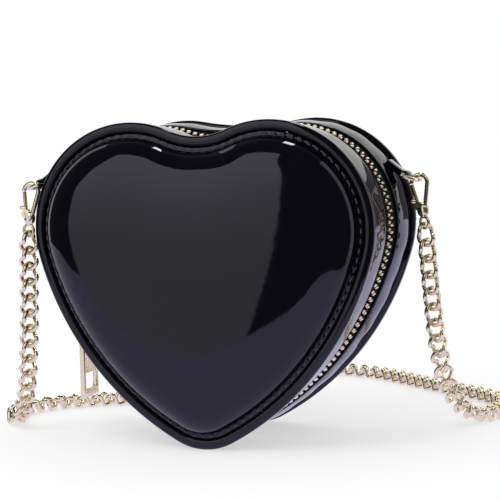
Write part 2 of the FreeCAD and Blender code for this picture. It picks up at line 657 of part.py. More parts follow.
LINK_TWIST = math.radians(mm.link_twist_angle)
LINK_HEIGHT = mm.link_half_width * math.sin(LINK_TWIST)
FLOOR_LEVEL = LINK_HEIGHT + mm.link_wire + mm.ply_gap
# Places on the floor, as shares of the strap's reach, from the left foot round to the right foot
FLOOR_SHARES = (
    (-1.22, 0.00), (-1.295, 0.14), (-1.29, 0.32), (-1.19, 0.47), (-1.02, 0.60), (-0.80, 0.70), (-0.48, 0.74),
    (-0.16, 0.74), (0.00, 1.01), (-0.16, 1.28), (-0.50, 1.26), (-0.84, 1.28), (-1.00, 1.55), (-0.84, 1.82),
    (-0.52, 1.87), (-0.20, 1.88), (0.12, 1.86), (0.38, 1.70), (0.62, 1.48), (0.86, 1.30), (1.06, 1.14),
    (1.18, 0.96), (1.20, 0.76), (1.13, 0.58),
)
# Shape of each drop: shares of the way out to its foot and of its height
DROP_SHARES = ((0.07, 0.74), (0.15, 0.49), (0.26, 0.29), (0.375, 0.18), (0.545, 0.09), (0.76, 0.03))


def drop_points(eye, foot):
    """Places of one drop, from the clasp's eye to just above its foot."""
    return [V(eye.x + (foot.x - eye.x) * out_share, eye.y + (foot.y - eye.y) * out_share,
              foot.z + (eye.z - foot.z) * height_share) for out_share, height_share in DROP_SHARES]


def rounded_route(points):
    """Closely spaced places along straight runs and tangent arcs."""
    fine = [points[0]]
    for before, corner, after in zip(points, points[1:], points[2:]):
        back, ahead = before - corner, after - corner
        run_share = 0.45
        reach = run_share * min(back.Length, ahead.Length)
        back.normalize()
        ahead.normalize()
        middle = back + ahead
        middle.normalize()
        half_angle = back.getAngle(middle)
        radius = reach * math.tan(half_angle)
        centre = corner + middle * (reach / math.cos(half_angle))
        arc = Part.Arc(corner + back * reach, centre - middle * radius, corner + ahead * reach)
        fine += arc.discretize(Number=17)
    return fine + [points[-1]]


def stations(fine, spacing_hint):
    """Evenly spaced link places and directions along a fine route."""
    lengths = [0]
    for a, b in zip(fine, fine[1:]):
        lengths.append(lengths[-1] + a.distanceToPoint(b))
    reach = mm.link_half_straight + mm.link_half_width
    count = round((lengths[-1] - 2 * reach) / spacing_hint)
    spacing = (lengths[-1] - 2 * reach) / count
    result, leg = [], 0
    for i in range(count + 1):
        distance = reach + i * spacing
        while lengths[leg + 1] < distance:
            leg += 1
        run = fine[leg + 1] - fine[leg]
        share = (distance - lengths[leg]) / run.Length
        result.append((fine[leg] + run * share, run.normalize()))
    return result


def drop_facings(places, top_angle):
    """Facing of each link from a clasp to the floor: at an angle in plan at the top, and flat at the foot.

    Both faces of a link look alike, so the chain turns a quarter at most, mostly toward its foot.
    """
    top = V(math.cos(math.radians(top_angle)), math.sin(math.radians(top_angle)), 0)
    facings = [square_to(top, places[0][1])]
    for _, direction in places[1:]:
        facings.append(square_to(facings[-1], direction))
    foot_run = places[-1][1]
    lean = facings[-1].getAngle(UP)
    sense = facings[-1].cross(UP).dot(foot_run) * (math.pi / 2 - lean)
    turn = math.copysign(min(lean, math.pi - lean), sense)
    steps = sum(point.z > mm.drop_foot * 2 for point, _ in places)
    return [FreeCAD.Rotation(direction, math.degrees(turn * min(i / steps, 1) ** 2)).multVec(facing)
            for i, ((_, direction), facing) in enumerate(zip(places, facings))]


def curb_link():
    """Flattened twisted link lying along x, with its face toward z."""
    b, x = mm.link_half_width, mm.link_half_straight
    y, z = b * math.cos(LINK_TWIST), LINK_HEIGHT
    sway = (x ** 2 + z ** 2) / (2 * z)
    bend = math.atan2(z, x)
    mid_x, mid_z = x - sway * math.sin(bend), z - sway * (1 - math.cos(bend))
    arcs = [
        Part.Arc(V(x, -y, -z), V(x + b, 0, 0), V(x, y, z)),
        Part.Arc(V(x, y, z), V(mid_x, y, mid_z), V(0, y, 0)),
        Part.Arc(V(0, y, 0), V(-mid_x, y, -mid_z), V(-x, y, -z)),
        Part.Arc(V(-x, y, -z), V(-x - b, 0, 0), V(-x, -y, z)),
        Part.Arc(V(-x, -y, z), V(-mid_x, -y, mid_z), V(0, -y, 0)),
        Part.Arc(V(0, -y, 0), V(mid_x, -y, -mid_z), V(x, -y, -z)),
    ]
    bends = []
    for edge in (arc.toShape() for arc in arcs):
        first, last = edge.ParameterRange
        disc = Part.Face(Part.Wire(Part.makeCircle(mm.link_wire, edge.valueAt(first), edge.tangentAt(first))))
        bends.append(disc.revolve(edge.Curve.Center, edge.Curve.Axis, math.degrees(last - first)))
    return bends[0].multiFuse(bends[1:]).Solids[0]


def eye_hang(eye, up):
    """End of the chain's route: where the first link's wire rests in a clasp's eye."""
    return eye - up * (mm.eye_radius - mm.eye_wire - mm.link_wire - mm.eye_slack)


floor_points = [V(x_share, y_share, 0) * mm.strap_reach + UP * FLOOR_LEVEL
                for x_share, y_share in FLOOR_SHARES]
left_hang, right_hang = eye_hang(left_eye, left_up), eye_hang(right_eye, right_up)
left_drop = [left_hang] + drop_points(left_hang, floor_points[0])
right_drop = [right_hang] + drop_points(right_hang, floor_points[-1])
CHAIN = stations(rounded_route(left_drop + floor_points + right_drop[::-1]), mm.chain_pitch)
on_floor = [i for i, (point, _) in enumerate(CHAIN) if point.z < FLOOR_LEVEL + mm.ply_gap]
first_flat, last_flat = on_floor[0], on_floor[-1]
backward = [(point, -run) for point, run in CHAIN[last_flat:][::-1]]
facings = drop_facings(CHAIN[:first_flat + 1], mm.left_facing_angle)[:-1]
facings += [UP] * (last_flat - first_flat + 1)
facings += drop_facings(backward, mm.right_facing_angle)[:-1][::-1]
link = curb_link()
hanging = [point.z > mm.drop_foot for point, _ in CHAIN]
left_end = hanging.index(False)
right_start = len(hanging) - hanging[::-1].index(False)
for label, first, last in (("chain_left_drop", 0, left_end), ("chain_floor", left_end, right_start),
                           ("chain_right_drop", right_start, len(CHAIN))):
    row_feature(label, Part.makeCompound([moved(link, axes(CHAIN[i][0], CHAIN[i][1], facings[i]))
                                          for i in range(first, last)]))

# Checks and export

doc.recompute()
for feature in doc.Objects:
    if "Invalid" in feature.State or "Error" in feature.State:
        raise RuntimeError(f"{feature.Name} did not build: {feature.State}")
os.makedirs("parts", exist_ok=True)
for feature in SUBPARTS:
    if feature.Shape.isNull() or not feature.Shape.isValid():
        raise RuntimeError(f"{feature.Label} has no valid shape")
    feature.Shape.exportStep(f"parts/{feature.Label}.step")
print(len(SUBPARTS), "sub-parts,", len(CHAIN), "links")
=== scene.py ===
import json
import math
import bmesh
import bpy
import numpy as np
from mathutils import Matrix, Quaternion, Vector

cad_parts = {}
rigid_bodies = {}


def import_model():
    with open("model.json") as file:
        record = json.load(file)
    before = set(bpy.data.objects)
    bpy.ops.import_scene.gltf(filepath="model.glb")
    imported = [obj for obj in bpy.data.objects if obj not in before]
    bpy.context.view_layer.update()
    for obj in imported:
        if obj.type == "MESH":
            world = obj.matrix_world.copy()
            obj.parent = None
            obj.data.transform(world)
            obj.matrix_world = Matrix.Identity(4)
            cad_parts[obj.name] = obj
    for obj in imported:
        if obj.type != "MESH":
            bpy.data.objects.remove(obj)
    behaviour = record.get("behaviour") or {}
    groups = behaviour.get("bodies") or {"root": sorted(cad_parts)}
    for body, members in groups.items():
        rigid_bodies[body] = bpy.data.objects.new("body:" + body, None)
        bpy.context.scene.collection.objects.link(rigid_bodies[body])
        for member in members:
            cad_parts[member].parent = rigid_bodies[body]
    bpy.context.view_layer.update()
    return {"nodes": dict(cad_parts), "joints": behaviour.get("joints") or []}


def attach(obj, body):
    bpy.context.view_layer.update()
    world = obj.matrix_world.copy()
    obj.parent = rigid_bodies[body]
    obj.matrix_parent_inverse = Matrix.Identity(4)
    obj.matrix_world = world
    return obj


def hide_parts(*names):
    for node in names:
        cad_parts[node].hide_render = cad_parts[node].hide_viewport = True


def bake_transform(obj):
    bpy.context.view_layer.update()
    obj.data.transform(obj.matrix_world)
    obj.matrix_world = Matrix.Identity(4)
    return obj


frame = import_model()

# Camera: a long lens a little to the right of the bag and just above its middle, turned a touch on its axis.
# The scene is in metres; sizes are given in millimetres and brought to metres by MM.
MM = 0.001
TURN_RIGHT, LOOK_DOWN, TILT = math.radians(20.3), math.radians(4.7), -0.0254
CAMERA_PLACE = Vector((288.3, -748.2, 157.9)) * MM
ahead = Vector((-math.sin(TURN_RIGHT) * math.cos(LOOK_DOWN), math.cos(TURN_RIGHT) * math.cos(LOOK_DOWN),
                -math.sin(LOOK_DOWN)))
level = Vector((math.cos(TURN_RIGHT), math.sin(TURN_RIGHT), 0))
upright = level.cross(ahead)
picture_x = math.cos(TILT) * level + math.sin(TILT) * upright
picture_y = math.cos(TILT) * upright - math.sin(TILT) * level
camera = bpy.data.objects.new("camera", bpy.data.cameras.new("camera"))
camera.data.lens = 117.36
camera.data.sensor_width = 36
camera.matrix_world = Matrix((picture_x, picture_y, -ahead)).transposed().to_4x4()
camera.location = CAMERA_PLACE
bpy.context.collection.objects.link(camera)
bpy.context.scene.camera = camera

# Chain strap: a flat curb chain of twisted zinc alloy links, light gold plated. It hangs from the eyes of the two
# clasps and lies in loose bends on the floor behind the bag.


def linear(hex_colour):
    """An sRGB hex colour as linear red, green, blue and alpha."""
    parts = [int(hex_colour[i:i + 2], 16) / 255 for i in (1, 3, 5)]
    return (*(c / 12.92 if c <= 0.04045 else ((c + 0.055) / 1.055) ** 2.4 for c in parts), 1)


def node(tree, kind, inputs=None, **settings):
    """Adds a node with its settings; an input takes a plain value or another node's output."""
    made = tree.nodes.new(kind)
    for name, value in settings.items():
        setattr(made, name, value)
    for name, value in (inputs or {}).items():
        if isinstance(value, bpy.types.NodeSocket):
            tree.links.new(value, made.inputs[name])
        else:
            made.inputs[name].default_value = value
    return made


def new_material(name):
    """An empty material and its node tree."""
    material = bpy.data.materials.new(name)
    material.use_nodes = True
    material.node_tree.nodes.clear()
    return material, material.node_tree


def piece(name, points, faces, material, uv=None):
    """A smooth mesh object; uv holds one pair in metres for each point."""
    mesh = bpy.data.meshes.new(name)
    mesh.from_pydata([tuple(p) for p in points], [], faces)
    mesh.shade_smooth()
    if uv is not None:
        layer = mesh.uv_layers.new(name="flat_metres")
        corners = np.zeros(len(mesh.loops), dtype=np.int32)
        mesh.loops.foreach_get("vertex_index", corners)
        layer.data.foreach_set("uv", np.asarray(uv, dtype=np.float32)[corners].ravel())
    mesh.materials.append(material)
    made = bpy.data.objects.new(name, mesh)
    bpy.context.collection.objects.link(made)
    return made


# Light gold plating on cast and bent zinc alloy: a polished, pale warm metal with faint cloudy wear, its gloss
# softened by fine rub marks.
WEAR_PATCH, RUB_MARK, RUB_DEPTH = 6 * MM, 0.35 * MM, 0.05 * MM
gold, tree = new_material("light_gold_plating")
place = node(tree, "ShaderNodeTexCoord")
clouds = node(tree, "ShaderNodeTexNoise", {"Vector": place.outputs["Object"], "Scale": 1 / WEAR_PATCH, "Detail": 4})
rubbing = node(tree, "ShaderNodeMapRange", {"Value": clouds.outputs["Fac"], "To Min": 0.12, "To Max": 0.24})
tone = node(tree, "ShaderNodeMix", {0: clouds.outputs["Fac"], 6: linear("#FBEFD6"), 7: linear("#EEDCB8")},
            data_type="RGBA")
grit = node(tree, "ShaderNodeTexNoise", {"Vector": place.outputs["Object"], "Scale": 1 / RUB_MARK, "Detail": 2})
dents = node(tree, "ShaderNodeBump", {"Height": grit.outputs["Fac"], "Strength": 0.04, "Distance": RUB_DEPTH})
metal = node(tree, "ShaderNodeBsdfPrincipled", {
    "Base Color": tone.outputs[2], "Metallic": 1, "Roughness": rubbing.outputs["Result"],
    "Normal": dents.outputs["Normal"]})
node(tree, "ShaderNodeOutputMaterial", {"Surface": metal.outputs["BSDF"]})

# The strap's way: from the left clasp's eye down to the floor, along it behind the bag, and up to the right one
LEFT_HANG, RIGHT_HANG = Vector((-0.09399, -0.03, 0.10366)), Vector((0.09399, 0.023, 0.10366))
FLOOR_LEVEL = 3.72 * MM
FLOOR_WAY = (
    (-0.122, 0.000), (-0.1295, 0.014), (-0.129, 0.032), (-0.119, 0.047), (-0.102, 0.060), (-0.080, 0.070),
    (-0.048, 0.074), (-0.016, 0.074), (0.000, 0.101), (-0.016, 0.128), (-0.050, 0.126), (-0.084, 0.128),
    (-0.100, 0.155), (-0.084, 0.182), (-0.052, 0.187), (-0.020, 0.188), (0.012, 0.186), (0.038, 0.170),
    (0.062, 0.148), (0.086, 0.130), (0.106, 0.114), (0.118, 0.096), (0.120, 0.076), (0.113, 0.058),
)
DROP_SHARES = ((0.07, 0.74), (0.15, 0.49), (0.26, 0.29), (0.375, 0.18), (0.545, 0.09), (0.76, 0.03))


def drop_way(hang, foot):
    """Places from a clasp's eye to just above its foot."""
    return [hang] + [Vector((hang.x + (foot.x - hang.x) * out, hang.y + (foot.y - hang.y) * out,
                             foot.z + (hang.z - foot.z) * up)) for out, up in DROP_SHARES]


floor_way = [Vector((x, y, FLOOR_LEVEL)) for x, y in FLOOR_WAY]
way = drop_way(LEFT_HANG, floor_way[0]) + floor_way + drop_way(RIGHT_HANG, floor_way[-1])[::-1]
curve = bpy.data.curves.new("chain_way", "CURVE")
curve.dimensions = "3D"
curve.resolution_u = 24
spline = curve.splines.new("NURBS")
spline.points.add(len(way) - 1)
for point, spot in zip(spline.points, way):
    point.co = (*spot, 1)
spline.order_u = 3
spline.use_endpoint_u = True
curve_object = bpy.data.objects.new("chain_way", curve)
line = bpy.data.meshes.new_from_object(curve_object)
chain_line = np.array([v.co for v in line.vertices])
bpy.data.objects.remove(curve_object)
chain_run = np.concatenate([[0], np.cumsum(np.linalg.norm(np.diff(chain_line, axis=0), axis=1))])

LINK_HALF_WIDTH, LINK_STRAIGHT, LINK_WIRE, LINK_TWIST = 4.1 * MM, 1.3 * MM, 1.1 * MM, math.radians(38)
LINK_PITCH, LINK_SECTION = 8 * MM, 12
link_reach = LINK_STRAIGHT + LINK_HALF_WIDTH
link_count = round((chain_run[-1] - 2 * link_reach) / LINK_PITCH) + 1
link_runs = np.linspace(link_reach, chain_run[-1] - link_reach, link_count)


def on_chain(run):
    """Place along the strap at a length from its left end."""
    return Vector([np.interp(run, chain_run, chain_line[:, k]) for k in range(3)])


link_places = [on_chain(run) for run in link_runs]
link_ways = [(on_chain(run + MM) - on_chain(run - MM)).normalized() for run in link_runs]

# A link at the top of a drop faces its own way in plan, and has turned flat by the time it is near the floor
LEFT_FACING, RIGHT_FACING, TURNED_AT = math.radians(-45), math.radians(-70), 18 * MM
UP = Vector((0, 0, 1))


def square_to(vector, direction):
    """The part of a vector square to a direction, at unit length."""
    return (vector - direction * vector.dot(direction)).normalized()


def drop_faces(ways, places, top_angle):
    """Way that each link faces from a clasp to the floor: at an angle in plan at the top, and flat at the foot."""
    top = Vector((math.cos(top_angle), math.sin(top_angle), 0))
    faces = [square_to(top, ways[0])]
    for direction in ways[1:]:
        faces.append(square_to(faces[-1], direction))
    lean = faces[-1].angle(UP)
    sense = faces[-1].cross(UP).dot(ways[-1]) * (math.pi / 2 - lean)
    turn = math.copysign(min(lean, math.pi - lean), sense)
    steps = sum(p.z > TURNED_AT for p in places)
    return [Quaternion(d, turn * min(i / steps, 1) ** 2) @ f for i, (d, f) in enumerate(zip(ways, faces))]


flat_links = [i for i, p in enumerate(link_places) if p.z < FLOOR_LEVEL + 0.1 * MM]
first_flat, last_flat = flat_links[0], flat_links[-1]
left_ways, left_places = link_ways[:first_flat + 1], link_places[:first_flat + 1]
right_ways, right_places = [-w for w in link_ways[last_flat:][::-1]], link_places[last_flat:][::-1]
link_faces = drop_faces(left_ways, left_places, LEFT_FACING)[:-1]
link_faces += [UP] * (last_flat - first_flat + 1)
link_faces += drop_faces(right_ways, right_places, RIGHT_FACING)[:-1][::-1]


def link_mesh():
    """Points and faces of one twisted link lying along x, its face toward z."""
    bow = np.linspace(-math.pi / 2, math.pi / 2, 15)
    side = np.linspace(1, -1, 7)[1:-1]
    sway = 1.5 * side - 0.5 * side ** 3
    across, rise = LINK_HALF_WIDTH * math.cos(LINK_TWIST), LINK_HALF_WIDTH * math.sin(LINK_TWIST)
    front = np.stack([LINK_STRAIGHT + LINK_HALF_WIDTH * np.cos(bow), across * np.sin(bow), rise * np.sin(bow)], 1)
    run = np.stack([LINK_STRAIGHT * side, np.full_like(side, across), rise * sway], 1)
    half = np.concatenate([front, run])
    centre = np.concatenate([half, half * [-1, -1, 1]])
    along = np.roll(centre, -1, 0) - np.roll(centre, 1, 0)
    along /= np.linalg.norm(along, axis=1)[:, None]
    wide = np.cross(along, [0, 0, 1])
    wide /= np.linalg.norm(wide, axis=1)[:, None]
    tall = np.cross(wide, along)
    round_it = np.linspace(0, 2 * math.pi, LINK_SECTION, endpoint=False)[None, :, None]
    wire = np.cos(round_it) * wide[:, None] + np.sin(round_it) * tall[:, None]
    points = (centre[:, None] + LINK_WIRE * wire).reshape(-1, 3)
    rings = len(centre)
    faces = [(r * LINK_SECTION + k, r * LINK_SECTION + (k + 1) % LINK_SECTION,
              (r + 1) % rings * LINK_SECTION + (k + 1) % LINK_SECTION, (r + 1) % rings * LINK_SECTION + k)
             for r in range(rings) for k in range(LINK_SECTION)]
    return points, faces


link_points, link_quads = link_mesh()


def chain_piece(name, first, last):
    """The links from first up to last as one piece."""
    points, faces = [], []
    for i in range(first, last):
        x_way, z_way = np.array(link_ways[i]), np.array(link_faces[i])
        turn = np.stack([x_way, np.cross(z_way, x_way), z_way])
        faces += [tuple(len(points) * len(link_points) + v for v in quad) for quad in link_quads]
        points.append(link_points @ turn + np.array(link_places[i]))
    return piece(name, np.concatenate(points), faces, gold)


# The left drop is made in two pieces: its first links, and the others down to the floor
LEFT_SPLIT, HANGING_ABOVE = 6, 9 * MM
hanging = [p.z > HANGING_ABOVE for p in link_places]
left_foot, right_foot = hanging.index(False), link_count - hanging[::-1].index(False)
left_upper = chain_piece("chain_left_upper", 0, LEFT_SPLIT)
left_lower = chain_piece("chain_left_lower", LEFT_SPLIT, left_foot)
floor_run = chain_piece("chain_floor_run", left_foot, right_foot)
right_fall = chain_piece("chain_right_fall", right_foot, link_count)
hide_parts("chain_left_drop")
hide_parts("chain_left_drop")
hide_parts("chain_floor")
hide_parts("chain_right_drop")
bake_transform(left_upper)
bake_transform(left_lower)
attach(floor_run, "rear_shell")
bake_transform(right_fall)

# Panels: the domed front and the flat padded back, moulded from glossy patent sheet over foam. Each has a
# narrow flange that is sewn down inside its rim, and a steep border that climbs to a gently rounded crown.

# Polyurethane patent sheet: a smooth black skin under a clear gloss film, which mirrors the room sharply, with the
# slight waviness of the cloth behind it and a grain that is hardly seen.
CLOTH_WAVE, WAVE_DEPTH, SKIN_GRAIN, GRAIN_DEPTH = 9 * MM, 0.6 * MM, 0.6 * MM, 0.03 * MM
patent, tree = new_material("black_patent_polyurethane")
place = node(tree, "ShaderNodeTexCoord")
waves = node(tree, "ShaderNodeTexNoise", {"Vector": place.outputs["Object"], "Scale": 1 / CLOTH_WAVE, "Detail": 2})
grain = node(tree, "ShaderNodeTexNoise", {"Vector": place.outputs["Object"], "Scale": 1 / SKIN_GRAIN, "Detail": 3})
wavy = node(tree, "ShaderNodeBump", {"Height": waves.outputs["Fac"], "Strength": 0.03, "Distance": WAVE_DEPTH})
skin = node(tree, "ShaderNodeBump", {
    "Height": grain.outputs["Fac"], "Strength": 0.02, "Distance": GRAIN_DEPTH, "Normal": wavy.outputs["Normal"]})
smear = node(tree, "ShaderNodeMapRange", {"Value": waves.outputs["Fac"], "To Min": 0.03, "To Max": 0.07})
gloss = node(tree, "ShaderNodeBsdfPrincipled", {
    "Base Color": linear("#050408"), "Roughness": smear.outputs["Result"], "IOR": 1.47,
    "Specular Tint": linear("#EEEDFF"), "Normal": skin.outputs["Normal"]})
node(tree, "ShaderNodeOutputMaterial", {"Surface": gloss.outputs["BSDF"]})

# The heart's outline is six tangent arcs, and its cleft grows wider from the front to the back
LOBE_OFFSET, LOBE_HEIGHT, LOBE_RADIUS, SIDE_RADIUS, TIP_RADIUS = 34.8, 105.1, 51.2, 145, 29
FRONT_CLEFT, MIDDLE_CLEFT, BACK_CLEFT = 36, 62, 140
# Each half of the bag: its body, its side of the zip and its cleft
FRONT_HALF, REAR_HALF = ("front_shell", -1, FRONT_CLEFT), ("rear_shell", 1, BACK_CLEFT)
ZIP_END = math.radians(237.3)


def heart_legs(inset, cleft_radius):
    """Arcs of the outline moved in by inset, clockwise from the zip's end: centre, radius, angles, facing."""
    rise = math.sqrt((LOBE_RADIUS + cleft_radius) ** 2 - LOBE_OFFSET ** 2)
    cleft = math.atan2(rise, LOBE_OFFSET)
    to_lobe, to_tip = SIDE_RADIUS - LOBE_RADIUS, SIDE_RADIUS - TIP_RADIUS
    across, down = -LOBE_OFFSET, TIP_RADIUS - LOBE_HEIGHT
    span = math.hypot(across, down)
    along = (to_lobe ** 2 - to_tip ** 2 + span ** 2) / (2 * span)
    beside = math.sqrt(to_lobe ** 2 - along ** 2)
    x = LOBE_OFFSET + (along * across + beside * down) / span
    z = LOBE_HEIGHT + (along * down - beside * across) / span
    lobe_angle, tip_angle = math.atan2(LOBE_HEIGHT - z, LOBE_OFFSET - x), math.atan2(TIP_RADIUS - z, -x)
    half = math.pi
    lobe, side, tip = LOBE_RADIUS - inset, SIDE_RADIUS - inset, TIP_RADIUS - inset
    return [
        ((-x, z), side, ZIP_END, half - lobe_angle, 1),
        ((-LOBE_OFFSET, LOBE_HEIGHT), lobe, half - lobe_angle, cleft, 1),
        ((0, LOBE_HEIGHT + rise), cleft_radius + inset, half + cleft, 2 * half - cleft, -1),
        ((LOBE_OFFSET, LOBE_HEIGHT), lobe, half - cleft, lobe_angle, 1),
        ((x, z), side, lobe_angle, tip_angle, 1),
        ((0, TIP_RADIUS), tip, 2 * half + tip_angle, half - tip_angle, 1),
        ((-x, z), side, half - tip_angle, ZIP_END, 1),
    ]


def heart_ends(inset, cleft_radius):
    """Length round the outline to the end of each of its arcs."""
    return np.cumsum([abs(last - first) * radius for _, radius, first, last, _ in heart_legs(inset, cleft_radius)])


def stations_at(runs, inset, cleft_radius):
    """Places at lengths round an outline, each as its arc and its share of that arc."""
    ends = heart_ends(inset, cleft_radius)
    leg = np.minimum(np.searchsorted(ends, runs, side="right"), len(ends) - 1)
    begin = np.concatenate([[0], ends])[leg]
    return leg, (runs - begin) / (ends[leg] - begin)


def even_stations(inset, cleft_radius, count):
    """Evenly spaced places all round an outline."""
    return stations_at(np.arange(count) * (heart_ends(inset, cleft_radius)[-1] / count), inset, cleft_radius)


def heart_points(stations, inset, cleft_radius):
    """Places x, z and outward directions of stations on the outline moved in by inset, in millimetres."""
    legs = heart_legs(inset, cleft_radius)
    leg, share = stations
    centre, radius, first, last, facing = (np.array([entry[k] for entry in legs])[leg] for k in range(5))
    angle = first + (last - first) * share
    ray = np.stack([np.cos(angle), np.sin(angle)], 1)
    return centre + radius[:, None] * ray, ray * facing[:, None]


def at_depth(flat, depth):
    """Places x, z in millimetres as points in metres, at one depth or a depth each."""
    return np.stack([flat[:, 0], np.broadcast_to(depth, len(flat)), flat[:, 1]], 1) * MM


def ring(stations, inset, depth, cleft_radius):
    """Places of one outline at a depth, in metres."""
    return at_depth(heart_points(stations, inset, cleft_radius)[0], depth)


def loft(name, rings, material, tube=False, closed=True, caps=()):
    """Skin through rings of equal count; tube joins the last ring to the first, caps close to a point."""
    rings = np.array(rings)
    levels, count = rings.shape[:2]
    points = list(rings.reshape(-1, 3))
    steps = np.linalg.norm(np.roll(rings[0], -1, 0) - rings[0], axis=1)
    along = np.concatenate([[0], np.cumsum(steps)[:-1]])
    rises = np.linalg.norm(np.diff(rings, axis=0), axis=2).mean(1)
    up = np.concatenate([[0], np.cumsum(rises)])
    uv = [(a, u) for u in up for a in along]
    faces = []
    for r in range(levels if tube else levels - 1):
        for n in range(count if closed else count - 1):
            m, q = (n + 1) % count, (r + 1) % levels
            faces.append((r * count + n, r * count + m, q * count + m, q * count + n))
    for row, point in caps:
        points.append(np.array(point))
        uv.append((0, up[-1]))
        base = row % levels * count
        for n in range(count):
            faces.append((base + n, base + (n + 1) % count, len(points) - 1))
    made = piece(name, points, faces, material, uv)
    work = bmesh.new()
    work.from_mesh(made.data)
    bmesh.ops.recalc_face_normals(work, faces=work.faces)
    work.to_mesh(made.data)
    work.free()
    return made


def dress(made, slot, body, *nodes):
    """Puts a piece on its body in place of the solids that it stands for."""
    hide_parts(*nodes)
    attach(made, body)


RIM_FACE, PANEL_INSET, FLANGE_WIDTH, FLANGE_DROP, PANEL_SEAT = 39, 5.3, 2.3, 0.55, 3
STITCH_COUNT, POINTS_PER_STITCH, DIMPLE = 104, 8, 0.14
STITCH_INSET = PANEL_INSET + 1.1
HEART_MIDDLE = np.array([0, 88])
# Inset, depth under the foot of the border, and share of the stitches' dimple
FLANGE_PROFILE = ((0, 0.5, 0), (0.35, 0.15, 0), (1.1, 0.1, 1), (1.8, 0.1, 0.3))
BORDER_SHARES = (0, 0.012, 0.04, 0.09, 0.16, 0.25, 0.36, 0.48, 0.61, 0.74, 0.87, 1)
CROWN_SHARES = (0.94, 0.87, 0.79, 0.71, 0.63, 0.55, 0.47, 0.39, 0.31, 0.23, 0.15, 0.08, 0.03)
# The first rings are too near the edge for its integral, so their distances from it are given
EDGE_SHARES = (0, 0.1, 0.5)
around = even_stations(STITCH_INSET, FRONT_CLEFT, STITCH_COUNT * POINTS_PER_STITCH)


def depth_inside(points, edge, outward):
    """Smooth distance of points in from a closed edge, as an integral over all directions."""
    steps = np.linalg.norm(np.roll(edge, -1, 0) - np.roll(edge, 1, 0), axis=1) / 2
    result = np.zeros(len(points))
    batch = 2000
    for i in range(0, len(points), batch):
        away = edge[None] - points[i:i + batch, None]
        far = (away ** 2).sum(2)
        result[i:i + batch] = ((away * outward[None]).sum(2) / far ** 2 * steps).sum(1)
    return np.sqrt(math.pi / 2 / result)


def heart_panel(name, half, nodes, run, border_rise, crown_rise, crown_reach):
    """Closed panel: flat back at its seat, flange with a dimple at each stitch, steep border and round crown."""
    body, side, cleft_radius = half
    foot = RIM_FACE - FLANGE_DROP
    edge_inset = PANEL_INSET + FLANGE_WIDTH
    edge, outward = heart_points(around, edge_inset, cleft_radius)
    pucker = DIMPLE * np.cos(np.arange(len(edge)) * (2 * math.pi / POINTS_PER_STITCH))
    seat_depth = side * (RIM_FACE - PANEL_SEAT)
    profile = [ring(around, PANEL_INSET, seat_depth, cleft_radius)]
    for inset, below, dimple in FLANGE_PROFILE:
        profile.append(ring(around, PANEL_INSET + inset, side * (foot - below + dimple * pucker), cleft_radius))
    flat_rings = [heart_points(around, edge_inset + run * share, cleft_radius)[0] for share in BORDER_SHARES]
    rises = [border_rise * math.sqrt(1 - (1 - share) ** 2) for share in BORDER_SHARES]
    border_top = flat_rings[-1]
    for share in CROWN_SHARES:
        flat_rings.append(HEART_MIDDLE + (border_top - HEART_MIDDLE) * share)
        rises.append(border_rise)
    for i, (flat, rise) in enumerate(zip(flat_rings, rises)):
        if i < len(EDGE_SHARES):
            inside = run * BORDER_SHARES[1] * EDGE_SHARES[i]
        else:
            inside = depth_inside(flat, edge, outward)
        height = foot + rise + crown_rise * (1 - np.exp(-inside / crown_reach))
        profile.append(at_depth(flat, side * height))
    top = profile[-1].mean(0)
    seat = (HEART_MIDDLE[0] * MM, seat_depth * MM, HEART_MIDDLE[1] * MM)
    made = loft(name, profile, patent, caps=((-1, top), (0, seat)))
    dress(made, "patent", body, *nodes)


heart_panel("front_dome", FRONT_HALF, ("front_panel", "front_foam"), run=13, border_rise=9, crown_rise=7,
            crown_reach=22)
heart_panel("back_pad", REAR_HALF, ("back_panel", "back_foam"), run=5.4, border_rise=2.2, crown_rise=0.9,
            crown_reach=14)

# Rims: a rolled welt of patent sheet over a cord, sewn between panel and gusset all round each heart. Its
# shoulders are round and its face is slightly full.
RIM_WIDTH, RIM_THICK, RIM_ROUND, RIM_TUCK, RIM_FULLNESS = 5, 4, 1.5, 0.15, 0.1


def rim(name, half, stands_for):
    """Closed welt: up its outer side, over the round shoulders and the full face, and down its inner side."""
    body, side, cleft_radius = half
    shoulder = RIM_THICK - RIM_ROUND
    section = [(RIM_TUCK, 0), (0, 0.5), (0, 1.5), (0, shoulder)]
    angles = np.radians([18, 36, 54, 72, 90])
    for angle in angles:
        section.append((RIM_ROUND - RIM_ROUND * math.cos(angle), shoulder + RIM_ROUND * math.sin(angle)))
    for offset, fullness in ((-0.4, 0.8), (0, 1), (0.4, 0.8)):
        section.append((RIM_WIDTH / 2 + offset, RIM_THICK + RIM_FULLNESS * fullness))
    for angle in angles[::-1]:
        section.append((RIM_WIDTH - RIM_ROUND + RIM_ROUND * math.cos(angle), shoulder + RIM_ROUND * math.sin(angle)))
    section += [(RIM_WIDTH, shoulder), (RIM_WIDTH, 0.5), (RIM_WIDTH - RIM_TUCK, 0)]
    rings = [ring(around, inset, side * (RIM_FACE - RIM_THICK + rise), cleft_radius) for inset, rise in section]
    dress(loft(name, rings, patent, tube=True), "patent", body, stands_for)


rim("front_welt", FRONT_HALF, "front_rim")
rim("back_welt", REAR_HALF, "back_rim")
